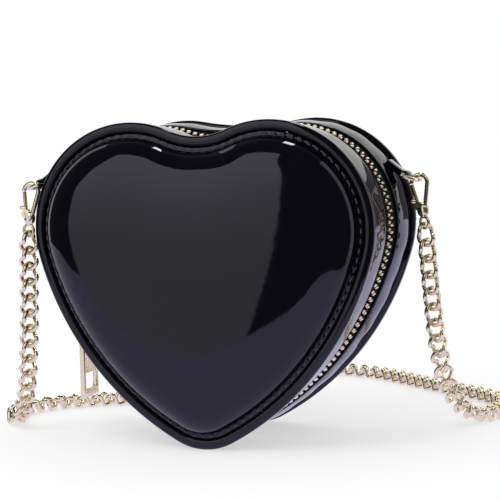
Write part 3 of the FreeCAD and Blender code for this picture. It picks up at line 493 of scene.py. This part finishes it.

# Stitching: a row of lock stitches in black polyester thread, just inside each rim. It holds the panel's flange to
# the rim, and each stitch dives into the flange at both ends.

# Polyester thread: black, twisted and slightly waxed, with a soft sheen; its colour is painted a lighter lavender
# grey than black, as painted highlight on the stitches.
# Its plies lie about 0.3 mm apart; a slanting wave repeats at about a third of its scale.
PLY_SPACING, PLY_DEPTH, PLY_WAVE = 0.3 * MM, 0.1 * MM, 3
thread, tree = new_material("black_polyester_thread")
place = node(tree, "ShaderNodeTexCoord")
ply = node(tree, "ShaderNodeTexWave", {
    "Vector": place.outputs["Object"], "Scale": 1 / (PLY_WAVE * PLY_SPACING), "Distortion": 2},
           bands_direction="DIAGONAL")
twist = node(tree, "ShaderNodeBump", {"Height": ply.outputs["Fac"], "Strength": 0.5, "Distance": PLY_DEPTH})
# Base colour: painted highlight, a lavender grey in place of the black thread's own colour
fibre = node(tree, "ShaderNodeBsdfPrincipled", {
    "Base Color": linear("#3C3A46"), "Roughness": 0.4, "Sheen Weight": 0.3, "Normal": twist.outputs["Normal"]})
node(tree, "ShaderNodeOutputMaterial", {"Surface": fibre.outputs["BSDF"]})
STITCH_LENGTH, STITCH_RADIUS, STITCH_RISE, STITCH_SINK = 2.9, 0.3, 0.1, 0.9
STITCH_RINGS, STITCH_SIDES = 9, 8


def stitching(name, half, stands_for):
    """Stitches that lie along the flange, each a short tube that sinks at its ends."""
    body, side, cleft_radius = half
    steps = np.linspace(-0.5, 0.5, STITCH_RINGS)
    sink = STITCH_SINK * np.abs(2 * steps) ** 4
    thick = STITCH_RADIUS * (1 - 0.25 * np.abs(2 * steps) ** 3)
    total = heart_ends(STITCH_INSET, cleft_radius)[-1]
    height = RIM_FACE - FLANGE_DROP + STITCH_RISE
    last_ring = (STITCH_RINGS - 1) * STITCH_SIDES
    points, faces = [], []
    for i in range(STITCH_COUNT):
        runs = (i + 0.5) * total / STITCH_COUNT + STITCH_LENGTH * steps
        flat, outward = heart_points(stations_at(runs, STITCH_INSET, cleft_radius), STITCH_INSET, cleft_radius)
        base = len(points)
        for k in range(STITCH_RINGS):
            for angle in np.linspace(0, 2 * math.pi, STITCH_SIDES, endpoint=False):
                x, z = flat[k] + outward[k] * (thick[k] * math.cos(angle))
                points.append((x * MM, side * (height - sink[k] + thick[k] * math.sin(angle)) * MM, z * MM))
        for start in range(base, base + last_ring, STITCH_SIDES):
            for a in range(STITCH_SIDES):
                b = (a + 1) % STITCH_SIDES
                faces.append((start + a, start + b, start + STITCH_SIDES + b, start + STITCH_SIDES + a))
        faces += [tuple(base + end + a for a in range(STITCH_SIDES)) for end in (0, last_ring)]
    dress(piece(name, points, faces, thread), "thread", body, stands_for)


stitching("front_stitches", FRONT_HALF, "front_stitching")
stitching("back_stitches", REAR_HALF, "back_stitching")

# Gusset bands: strips of patent sheet round the side, sewn to the rims. Their edges along the zip are turned
# under, and the soft sheet is a little full and buckles slightly between the seams.
BAND_INSET, BAND_THICK, SEAM_DEPTH, ZIP_EDGE = 2, 1.4, 35, 11
BAND_MIDDLE, BAND_HALF, BUCKLE, BUCKLE_COUNT, BUCKLE_GROUPS = 23, 11, 0.25, 23, 9
SIDE_POINTS = 520
# Inset and distance from the zip's edge, round the fold of the turned edge
TURNED_EDGE = ((0.06, 0.5), (0.3, 0.15), (0.7, 0), (1.1, 0.15), (1.34, 0.5), (BAND_THICK, 1.2))
sides = even_stations(BAND_INSET, MIDDLE_CLEFT, SIDE_POINTS)


def gusset_band(name, half, stands_for, fullness):
    """Band from the rim to the zip's edge, full in the middle, with a turned edge and soft buckles."""
    body, side, cleft_radius = half
    section = [(0.15, SEAM_DEPTH)] + [(0, depth) for depth in (33, 30, 27, 24, 21, 18, 15, 13, 12)]
    section += [(inset, ZIP_EDGE + beyond) for inset, beyond in TURNED_EDGE]
    section += [(BAND_THICK, depth) for depth in (20, 28, SEAM_DEPTH)]
    turn = 2 * math.pi * np.arange(SIDE_POINTS) / SIDE_POINTS
    rings = []
    for inset, depth in section:
        outer_face = inset < 0.1
        middle = max(0.0, 1 - ((depth - BAND_MIDDLE) / BAND_HALF) ** 2) * outer_face
        slant = 0.2 * math.pi * depth / BAND_HALF
        buckle = BUCKLE * np.sin(turn * BUCKLE_COUNT + slant) * np.sin(turn * BUCKLE_GROUPS)
        flat, outward = heart_points(sides, inset + BAND_INSET, cleft_radius)
        rings.append(at_depth(flat + outward * (middle * (fullness + buckle))[:, None], side * depth))
    dress(loft(name, rings, patent, tube=True), "patent", body, stands_for)


gusset_band("front_gusset", FRONT_HALF, "front_gusset_band", fullness=0.3)
gusset_band("rear_gusset", REAR_HALF, "rear_gusset_band", fullness=0.9)

# Zip tapes: two strips of black polyester twill, sewn under the turned edges of the bands and running in to the
# teeth. The edge that carries the teeth is woven over a cord.

# Polyester twill: a dull black cloth with slanting ribs and a slight fuzz, and next to no gloss.
# Its threads, 0.45 mm apart, are drawn at 0.8 mm so that the twill shows; on a flat cloth a slanting wave
# repeats 2.25 times in its scale.
TWILL_SPACING, TWILL_DEPTH, FUZZ_PATCH, TWILL_WAVE = 0.8 * MM, 0.25 * MM, 1.5 * MM, 2.25
twill, tree = new_material("black_twill_tape")
cloth = node(tree, "ShaderNodeUVMap", uv_map="flat_metres")
ribs = node(tree, "ShaderNodeTexWave", {
    "Vector": cloth.outputs["UV"], "Scale": 1 / (TWILL_WAVE * TWILL_SPACING), "Distortion": 0.4},
            bands_direction="DIAGONAL")
fuzz = node(tree, "ShaderNodeTexNoise", {"Vector": cloth.outputs["UV"], "Scale": 1 / FUZZ_PATCH, "Detail": 4})
rough = node(tree, "ShaderNodeBump", {"Height": ribs.outputs["Fac"], "Strength": 0.6, "Distance": TWILL_DEPTH})
shade = node(tree, "ShaderNodeMix", {0: fuzz.outputs["Fac"], 6: linear("#060607"), 7: linear("#101013")},
             data_type="RGBA")
weave = node(tree, "ShaderNodeBsdfPrincipled", {
    "Base Color": shade.outputs[2], "Roughness": 0.85, "Specular IOR Level": 0.15, "Normal": rough.outputs["Normal"]})
node(tree, "ShaderNodeOutputMaterial", {"Surface": weave.outputs["BSDF"]})
TAPE_INSET, TAPE_THICK, TOOTH_ROOT = 3.5, 0.8, 3.7
# Inset and depth of the tape's outer face, which swells over the cord near the teeth
TAPE_FACE = ((0, 13), (0, 11), (0, 9), (0, 7), (0, 5.2), (-0.25, 4.6), (-0.3, 4.1), (0, TOOTH_ROOT))


def zip_tape(name, half, stands_for):
    """Tape whose cleft eases from its band's to the zip's own, with a corded edge at the teeth."""
    body, side, cleft_radius = half
    rings = []
    for inset, depth in (*TAPE_FACE, *((TAPE_THICK - inset, depth) for inset, depth in TAPE_FACE[::-1])):
        share = min(1, max(0, (ZIP_EDGE - depth) / (ZIP_EDGE - TOOTH_ROOT)))
        rings.append(ring(sides, TAPE_INSET + inset, side * depth,
                          cleft_radius + (MIDDLE_CLEFT - cleft_radius) * share))
    dress(loft(name, rings, twill, tube=True), "zip_tape", body, stands_for)


zip_tape("front_tape", FRONT_HALF, "front_zip_tape")
zip_tape("rear_tape", REAR_HALF, "rear_zip_tape")

# Zip teeth: brass teeth with the same light gold plating, clamped one by one on the tapes' edges, with a stop at
# each end of the rear row. The rows start beside the slider, where it is parked on the left side.
TEETH_INSET, TOOTH_PITCH, TOOTH_LENGTH, TOOTH_WIDTH, TOOTH_HEIGHT = 2.4, 3.5, 1.5, 3.5, 3
TOOTH_HEAD, TOOTH_ROUND, ROW_DEPTH, ZIP_TAIL = 0.72, 0.42, 2.05, 3
FRONT_ROW_ANGLE, REAR_ROW_ANGLE = math.radians(200.08), math.radians(207.28)
STOP_LENGTH, STOP_GAP = 3, 0.3


def tooth_mesh(length):
    """Points and faces of one tooth: a block with rounded edges and a narrower head toward the middle."""
    work = bmesh.new()
    bmesh.ops.create_cube(work, size=1)
    for v in work.verts:
        taper = TOOTH_HEAD if v.co.y > 0 else 1
        v.co = Vector((v.co.x * length * taper, v.co.y * TOOTH_WIDTH, (v.co.z - 0.5) * TOOTH_HEIGHT))
    bmesh.ops.bevel(work, geom=work.edges[:], offset=TOOTH_ROUND, segments=3, profile=0.5, affect="EDGES")
    points = np.array([v.co for v in work.verts])
    faces = [tuple(v.index for v in f.verts) for f in work.faces]
    work.free()
    return points, faces


def zip_row(name, half, stands_for, runs, length):
    """A row of teeth at lengths along the zip, heads toward its middle."""
    body, side, _ = half
    points, faces = tooth_mesh(length)
    stations = stations_at(np.array(runs), TEETH_INSET, MIDDLE_CLEFT)
    flat, outward = heart_points(stations, TEETH_INSET, MIDDLE_CLEFT)
    all_points, all_faces = [], []
    for (x, z), (out_x, out_z) in zip(flat, outward):
        axes = np.array([[out_z, 0, -out_x], [0, -side, 0], [out_x, 0, out_z]])
        all_faces += [tuple(len(all_points) * len(points) + v for v in face) for face in faces]
        all_points.append((points @ axes + [x, side * ROW_DEPTH, z]) * MM)
    dress(piece(name, np.concatenate(all_points), all_faces, gold), "gold", body, stands_for)


def row_start(angle):
    """Number of tooth pitches from the zip's end to an angle on the left side."""
    return (ZIP_END - angle) * (SIDE_RADIUS - TEETH_INSET) / TOOTH_PITCH


row_end = (heart_ends(TEETH_INSET, MIDDLE_CLEFT)[-1] - ZIP_TAIL) / TOOTH_PITCH
front_runs = [i * TOOTH_PITCH for i in range(math.ceil(row_start(FRONT_ROW_ANGLE)), int(row_end))]
rear_runs = [(i + 0.5) * TOOTH_PITCH
             for i in range(math.ceil(row_start(REAR_ROW_ANGLE) - 0.5), int(row_end - 0.5))]
stop_step = TOOTH_LENGTH / 2 + STOP_GAP + STOP_LENGTH / 2
stop_runs = [rear_runs[0] - stop_step, rear_runs[-1] + stop_step]
zip_row("front_teeth", FRONT_HALF, "front_zip_teeth", front_runs, TOOTH_LENGTH)
zip_row("rear_teeth", REAR_HALF, "rear_zip_teeth", rear_runs, TOOTH_LENGTH)
zip_row("end_stops", REAR_HALF, "zip_end_stops", stop_runs, STOP_LENGTH)

# Fold strip: the part of the side that isn't zipped, one strip of patent sheet from band to band. It is sewn under
# the bands' edges, and in the bag it bends in its middle as the hinge; here it is one still piece that stays in
# place.
FOLD_TOP, FOLD_END, FOLD_HALF_WIDTH, FOLD_POINTS = math.radians(213.5), math.radians(236), 10.9, 60
fold_centre, fold_radius = heart_legs(BAND_INSET, MIDDLE_CLEFT)[0][:2]
fold_angles = np.linspace(FOLD_TOP, FOLD_END, FOLD_POINTS)
fold_rays = np.stack([np.cos(fold_angles), np.sin(fold_angles)], 1)
fold_depths = np.linspace(-FOLD_HALF_WIDTH, FOLD_HALF_WIDTH, 25)
fold_section = [(0, y) for y in fold_depths] + [(BAND_THICK, y) for y in fold_depths[::-1]]
fold_rings = [at_depth(np.array(fold_centre) + (fold_radius - under) * fold_rays, y) for under, y in fold_section]
fold_strip = loft("fold_strip", fold_rings, patent, tube=True, closed=False)
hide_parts("front_fold_strip", "rear_fold_strip")
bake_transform(fold_strip)

# Linings: plain woven polyester cloth, glued to the boards inside the front and the back, and sewn round the sides
# so that no raw edge shows when the bag is open.

# Lining cloth: a plain weave in filament yarn, black with a quiet satin sheen.
# Its threads, 0.25 mm apart, are drawn at 0.5 mm so that the weave shows; a straight wave repeats 3.2 times in
# its scale.
YARN_SPACING, YARN_DEPTH, YARN_WAVE = 0.5 * MM, 0.15 * MM, 3.2
lining, tree = new_material("black_polyester_lining")
cloth = node(tree, "ShaderNodeTexCoord")
warp, weft = (node(tree, "ShaderNodeTexWave", {
    "Vector": cloth.outputs["Object"], "Scale": 1 / (YARN_WAVE * YARN_SPACING)}, bands_direction=direction)
    for direction in ("X", "Z"))
crossing = node(tree, "ShaderNodeMath", {0: warp.outputs["Fac"], 1: weft.outputs["Fac"]}, operation="MULTIPLY")
relief = node(tree, "ShaderNodeBump", {"Height": crossing.outputs["Value"], "Strength": 0.4, "Distance": YARN_DEPTH})
satin = node(tree, "ShaderNodeBsdfPrincipled", {
    "Base Color": linear("#1E1D22"), "Roughness": 0.5, "Sheen Weight": 0.25, "Normal": relief.outputs["Normal"]})
node(tree, "ShaderNodeOutputMaterial", {"Surface": satin.outputs["BSDF"]})
LINING_INSET, LINING_BACK, LINING_FACE = 5.4, 34.8, 34.2
SIDE_LINING_INSET, SIDE_LINING_EDGE, LINING_THICK = 4.5, 13.1, 0.6


def heart_lining(name, half, stands_for):
    """Flat heart of lining on the inside of a board."""
    body, side, cleft_radius = half
    depths = side * LINING_BACK, side * LINING_FACE
    rings = [ring(sides, LINING_INSET, depth, cleft_radius) for depth in depths]
    caps = [(i, (0, depth * MM, HEART_MIDDLE[1] * MM)) for i, depth in enumerate(depths)]
    made = loft(name, rings, lining, caps=caps)
    dress(made, "lining", body, stands_for)


def side_lining(name, half, stands_for):
    """Strip of lining inside a band."""
    body, side, cleft_radius = half
    inner = SIDE_LINING_INSET + LINING_THICK
    section = [(SIDE_LINING_INSET, SEAM_DEPTH), (SIDE_LINING_INSET, SIDE_LINING_EDGE), (inner, SIDE_LINING_EDGE),
               (inner, SEAM_DEPTH)]
    rings = [ring(sides, inset, side * depth, cleft_radius) for inset, depth in section]
    made = loft(name, rings, lining, tube=True)
    dress(made, "lining", body, stands_for)


heart_lining("front_cloth", FRONT_HALF, "front_lining")
heart_lining("back_cloth", REAR_HALF, "back_lining")
side_lining("front_side_cloth", FRONT_HALF, "front_gusset_lining")
side_lining("rear_side_cloth", REAR_HALF, "rear_gusset_lining")

# Boards: hearts of greyboard that keep the front and the back flat, glued between panel and lining.
# They keep their solids' shape.

# Greyboard: pressed from waste paper, a dull warm grey with fibres in two tones and no gloss.
FIBRE_PATCH = 1.2 * MM
board, tree = new_material("greyboard")
place = node(tree, "ShaderNodeTexCoord")
fibres = node(tree, "ShaderNodeTexNoise", {"Vector": place.outputs["Object"], "Scale": 1 / FIBRE_PATCH, "Detail": 5})
flecks = node(tree, "ShaderNodeMix", {0: fibres.outputs["Fac"], 6: linear("#77736B"), 7: linear("#96918A")},
              data_type="RGBA")
pressed = node(tree, "ShaderNodeBsdfPrincipled", {"Base Color": flecks.outputs[2], "Roughness": 0.9})
node(tree, "ShaderNodeOutputMaterial", {"Surface": pressed.outputs["BSDF"]})


def finish_of(material, *names):
    """Gives CAD nodes that stay in view their material."""
    for name in names:
        for slot in frame["nodes"][name].material_slots:
            slot.material = material


finish_of(board, "front_board", "back_board")

# Slider and bail: the slider runs on both rows of teeth, and its bail is a bow that carries the pull. Both are
# cast in zinc alloy, plated as the chain is, and keep their solids' shape.
finish_of(gold, "zip_slider", "slider_bail")

# Zip pull: a forked tag with a window at its foot, cast and plated as the slider is. The bar across its fork hangs
# in the slider's bail.
PULL_WIDTH, PULL_LENGTH, PULL_THICK, PULL_ROUND, BAR_RADIUS = 16, 52, 2.6, 0.45, 1.1
WINDOW_HALF_WIDTH, FORK_LENGTH, WINDOW_TOP, WINDOW_FOOT = 6.2, 7.5, 39.8, 47.8
pivot = Vector(next(j for j in frame["joints"] if j["name"] == "pull_swing")["pos_m"]) / MM
pull_y = [-PULL_WIDTH / 2, -WINDOW_HALF_WIDTH, WINDOW_HALF_WIDTH, PULL_WIDTH / 2]
pull_z = [0, -FORK_LENGTH, -WINDOW_TOP, -WINDOW_FOOT, -PULL_LENGTH]
work = bmesh.new()
grid = {(i, k): [work.verts.new((pivot.x + side * PULL_THICK / 2, y, pivot.z + z)) for side in (-1, 1)]
        for i, y in enumerate(pull_y) for k, z in enumerate(pull_z)}
fork_gap, window = (1, 0), (1, 2)
solid_cells = [(i, k) for i in range(3) for k in range(4) if (i, k) not in (fork_gap, window)]
for i, k in solid_cells:
    corners = [(i, k), (i + 1, k), (i + 1, k + 1), (i, k + 1)]
    work.faces.new([grid[c][0] for c in corners[::-1]])
    work.faces.new([grid[c][1] for c in corners])
    beside = ((i, k - 1), (i + 1, k), (i, k + 1), (i - 1, k))
    for a, b, neighbour in zip(corners, corners[1:] + corners[:1], beside):
        if neighbour not in solid_cells:
            work.faces.new([grid[a][0], grid[b][0], grid[b][1], grid[a][1]])
bmesh.ops.delete(work, geom=[v for v in work.verts if not v.link_faces], context="VERTS")
bmesh.ops.recalc_face_normals(work, faces=work.faces)
sharp = [e for e in work.edges if e.calc_face_angle(0) > 0.5]
bmesh.ops.bevel(work, geom=sharp, offset=PULL_ROUND, segments=3, profile=0.5, affect="EDGES")
bmesh.ops.create_cone(work, cap_ends=True, segments=28, radius1=BAR_RADIUS, radius2=BAR_RADIUS, depth=PULL_WIDTH,
                      matrix=Matrix.Translation(pivot) @ Matrix.Rotation(math.pi / 2, 4, "X"))
pull = piece("pull_tag", [v.co * MM for v in work.verts], [tuple(v.index for v in f.verts) for f in work.faces], gold)
work.free()
dress(pull, "gold", "pull", "zip_pull")

# Ring tabs: a strip of patent sheet folded round each D-ring's bar, its two plies sewn together and into the side
# of the bag. The left one is on the front half and the right one on the rear half.
TAB_WIDTH, TAB_PLY, TAB_LENGTH, TAB_STANDOFF, TAB_CORNER, LOOP_RADIUS = 9, 1.1, 11, 1.3, 0.35, 1.9
TAB_ROOT_ANGLE, TAB_DIP_ANGLE = math.radians(35), math.radians(39)
# Length along the tab and height of its upper ply, which rises toward the ring's bar
TAB_PLY_LINE = [(0, 0.62), (3, 0.62), (6, 0.62), (8.2, 0.8), (9.5, 1.25)]


def ring_tab(name, side, depth, body, stands_for):
    """Strap from the side, round the ring's bar and back under itself."""
    lobe = Vector((side * LOBE_OFFSET, 0, LOBE_HEIGHT))
    root_out = Vector((side * math.cos(TAB_ROOT_ANGLE), 0, math.sin(TAB_ROOT_ANGLE)))
    run = Vector((side * math.cos(TAB_DIP_ANGLE), 0, -math.sin(TAB_DIP_ANGLE)))
    rise = Vector((-run.z * side, 0, run.x * side))
    root = lobe + root_out * (LOBE_RADIUS - BAND_INSET + TAB_STANDOFF)
    upper = TAB_PLY_LINE + [(TAB_LENGTH + LOOP_RADIUS * math.cos(a), LOOP_RADIUS * math.sin(a))
                            for a in np.radians([115, 90, 60, 30, 0])]
    path = np.array(upper + [(u, -w) for u, w in upper[-2::-1]])
    along = np.gradient(path, axis=0)
    along /= np.linalg.norm(along, axis=1)[:, None]
    across = np.stack([-along[:, 1], along[:, 0]], 1)
    wide, ply = TAB_WIDTH / 2, TAB_PLY / 2
    quarter = [(wide - TAB_CORNER, ply), (wide, ply - TAB_CORNER)]
    half = quarter + [(y, -w) for y, w in quarter[::-1]]
    rings = []
    for y, lift in half + [(-y, -w) for y, w in half]:
        flat = path + across * lift
        rings.append([(np.array(root + run * u + rise * w) + [0, depth + y, 0]) * MM for u, w in flat])
    dress(loft(name, rings, patent, tube=True, closed=False), "patent", body, stands_for)


ring_tab("right_strap_tab", 1, 23, "rear_shell", "right_ring_tab")
ring_tab("left_strap_tab", -1, -30, "front_shell", "left_ring_tab")

# Rings and clasps: D-rings of bent wire and cast lobster clasps, light gold plated, each gate on a steel pin with a
# steel spring. They keep their solids' shape.
finish_of(gold, "left_d_ring", "right_d_ring", "left_clasp_body", "right_clasp_body", "left_clasp_gate",
          "right_clasp_gate")

# Spring steel: bare drawn wire, a cool grey metal with a half dull, slightly uneven gloss.
DRAW_MARK = 0.5 * MM
steel, tree = new_material("spring_steel")
place = node(tree, "ShaderNodeTexCoord")
drawn = node(tree, "ShaderNodeTexNoise", {"Vector": place.outputs["Object"], "Scale": 1 / DRAW_MARK, "Detail": 3})
dull = node(tree, "ShaderNodeMapRange", {"Value": drawn.outputs["Fac"], "To Min": 0.25, "To Max": 0.4})
wire = node(tree, "ShaderNodeBsdfPrincipled", {
    "Base Color": linear("#C9C6C0"), "Metallic": 1, "Roughness": dull.outputs["Result"]})
node(tree, "ShaderNodeOutputMaterial", {"Surface": wire.outputs["BSDF"]})
finish_of(steel, "left_clasp_pin", "right_clasp_pin", "left_clasp_spring", "right_clasp_spring")

# Studio: a pale floor that fades into a white surround, soft lamps, and cards that only the gloss sees. A warm light
# panel stands in front on the left, black cards close off the rest of the front, a softbox hangs overhead, and the
# table's sheen is cool.
FLOOR_HALF, FADE_FROM, FADE_TO, WHITE_SHARE = 1.2, 0.3, 0.9, 0.55


def picture_rays(tree):
    """A value of 1 for what the camera sees, straight, mirrored or through something clear."""
    rays = node(tree, "ShaderNodeLightPath")
    seen = node(tree, "ShaderNodeMath", {0: rays.outputs["Is Camera Ray"], 1: rays.outputs["Is Glossy Ray"]},
                operation="ADD")
    return node(tree, "ShaderNodeMath", {0: seen.outputs["Value"], 1: rays.outputs["Is Transmission Ray"]},
                operation="ADD", use_clamp=True).outputs["Value"]


# Painted board: matt and almost white, shown a little whiter than it is lit, and clear at its far edges
floor_material, tree = new_material("pale_studio_floor")
place = node(tree, "ShaderNodeTexCoord")
reach = node(tree, "ShaderNodeVectorMath", {0: place.outputs["Object"]}, operation="LENGTH")
fade = node(tree, "ShaderNodeMapRange", {"Value": reach.outputs["Value"], "From Min": FADE_FROM, "From Max": FADE_TO},
            interpolation_type="SMOOTHSTEP")
matt = node(tree, "ShaderNodeBsdfDiffuse", {"Color": linear("#F8F8F8")})
lit = node(tree, "ShaderNodeEmission", {"Color": linear("#FFFFFF"), "Strength": 1.0})
white = node(tree, "ShaderNodeMath", {0: picture_rays(tree), 1: WHITE_SHARE}, operation="MULTIPLY")
pale = node(tree, "ShaderNodeMixShader", {
    0: white.outputs["Value"], 1: matt.outputs["BSDF"], 2: lit.outputs["Emission"]})
clear = node(tree, "ShaderNodeBsdfTransparent")
edge = node(tree, "ShaderNodeMixShader", {
    0: fade.outputs["Result"], 1: pale.outputs["Shader"], 2: clear.outputs["BSDF"]})
node(tree, "ShaderNodeOutputMaterial", {"Surface": edge.outputs["Shader"]})
floor_corners = [(x * FLOOR_HALF, y * FLOOR_HALF, 0) for x, y in ((-1, -1), (1, -1), (1, 1), (-1, 1))]
floor = piece("studio_floor", floor_corners, [(0, 1, 2, 3)], floor_material)
floor.visible_glossy = False


def glow_material(name, low, high, top, power):
    """A card or light panel whose colour runs from low at the floor to high at its top."""
    material, tree = new_material(name)
    place = node(tree, "ShaderNodeTexCoord")
    split = node(tree, "ShaderNodeSeparateXYZ", {0: place.outputs["Object"]})
    share = node(tree, "ShaderNodeMapRange", {"Value": split.outputs["Z"], "From Min": 0.0, "From Max": top})
    colour = node(tree, "ShaderNodeMix", {0: share.outputs["Result"], 6: linear(low), 7: linear(high)},
                  data_type="RGBA")
    light = node(tree, "ShaderNodeEmission", {"Color": colour.outputs[2], "Strength": power})
    node(tree, "ShaderNodeOutputMaterial", {"Surface": light.outputs["Emission"]})
    return material


def card(name, points, material, faces=None):
    """A studio card that only reflections show, in one face unless more are given."""
    made = piece(name, points, faces or [tuple(range(len(points)))], material)
    made.visible_camera = made.visible_diffuse = made.visible_shadow = made.visible_transmission = False


def wall(name, line, bottom, top, material):
    """A card that stands along a line on the floor."""
    count = len(line)
    faces = [(i, i + 1, count + i + 1, count + i) for i in range(count - 1)]
    card(name, [(x, y, z) for z in (bottom, top) for x, y in line], material, faces)


def ceiling(name, x_range, y_range, height, material):
    """A level card above the bag."""
    (x0, x1), (y0, y1) = x_range, y_range
    card(name, [(x0, y0, height), (x1, y0, height), (x1, y1, height), (x0, y1, height)], material)


velvet = glow_material("black_velvet", "#44444A", "#44444A", 1, 1.0)
grey_card = glow_material("grey_card", "#606068", "#606068", 1, 1.0)
panel_light = glow_material("warm_light_panel", "#BFBDBA", "#FFFFFF", 0.36, 1.48)
sheen = glow_material("cool_table_sheen", "#E4E2FF", "#E4E2FF", 1, 1.0)
softbox = glow_material("overhead_softbox", "#FFFFFF", "#FFFFFF", 1, 14.0)
wall("black_cards", [(-1.2, 0.3), (-1.2, -0.4), (-0.9, -0.85), (0.5, -0.85), (0.9, -0.4), (0.9, 0.0)], -0.6, 1.6,
     velvet)
ceiling("black_ceiling", (-1.2, 0.9), (-0.85, 0.3), 1.6, velvet)
ceiling("grey_ceiling", (-1.2, 0.9), (0.3, 1.4), 1.6, grey_card)
card("light_panel", [(-0.7, -0.8, -0.25), (-0.17, -0.8, -0.25), (-0.06, -0.8, 1.2), (-0.66, -0.8, 1.2)], panel_light)
ceiling("overhead_softbox", (-0.06, 0.13), (0.2, 0.6), 1.5, softbox)
wall("rear_grey_card", [(0.12, 1.4), (0.7, 1.4)], 0, 0.46, grey_card)
SHEEN_HEIGHT = 0.0004
SHEEN_EDGE = (
    (-0.6, -0.09), (-0.46, -0.28), (-0.366, -0.42), (-0.25, -0.3), (-0.19, -0.258), (-0.12, -0.235), (-0.06, -0.24),
    (0, -0.31), (0.072, -0.345), (0.145, -0.28), (0.2, -0.18), (0.26, 0.05), (0.8, 0.6), (0.8, 1.4), (-0.6, 1.4),
    (-0.8, 0.2),
)
card("table_sheen", [(x, y, SHEEN_HEIGHT) for x, y in SHEEN_EDGE], sheen)

world = bpy.data.worlds.new("white_surround")
bpy.context.scene.world = world
world.use_nodes = True
tree = world.node_tree
tree.nodes.clear()
strength = node(tree, "ShaderNodeMapRange", {"Value": picture_rays(tree), "To Min": 0.95, "To Max": 1.0})
surround = node(tree, "ShaderNodeBackground", {"Color": linear("#FFFFFF"), "Strength": strength.outputs["Result"]})
node(tree, "ShaderNodeOutputWorld", {"Surface": surround.outputs["Background"]})


def area_lamp(name, width, power, spot):
    """A square lamp that faces the middle of the bag."""
    light = bpy.data.lights.new(name, "AREA")
    light.shape, light.size, light.size_y, light.energy = "RECTANGLE", width, width, power
    lamp = bpy.data.objects.new(name, light)
    lamp.location = spot
    lamp.rotation_mode = "QUATERNION"
    lamp.rotation_quaternion = (Vector((0, 0, 0.08)) - lamp.location).to_track_quat("-Z", "Y")
    bpy.context.collection.objects.link(lamp)
    return lamp


soft_lamp = area_lamp("soft_lamp", 0.5, 3, (-0.25, -0.55, 0.9))
soft_lamp.visible_glossy = False
# A second lamp lights the metal alone, so that the black sheet mirrors no lamp beside its light panel
metal_pieces = bpy.data.collections.new("metal_pieces")
for made in bpy.data.objects:
    if made.type == "MESH" and any(slot.material in (gold, steel) for slot in made.material_slots):
        metal_pieces.objects.link(made)
area_lamp("metal_fill", 1.1, 2.4, (0.35, -0.8, 0.45)).light_linking.receiver_collection = metal_pieces
bpy.context.scene.view_settings.view_transform = "Standard"
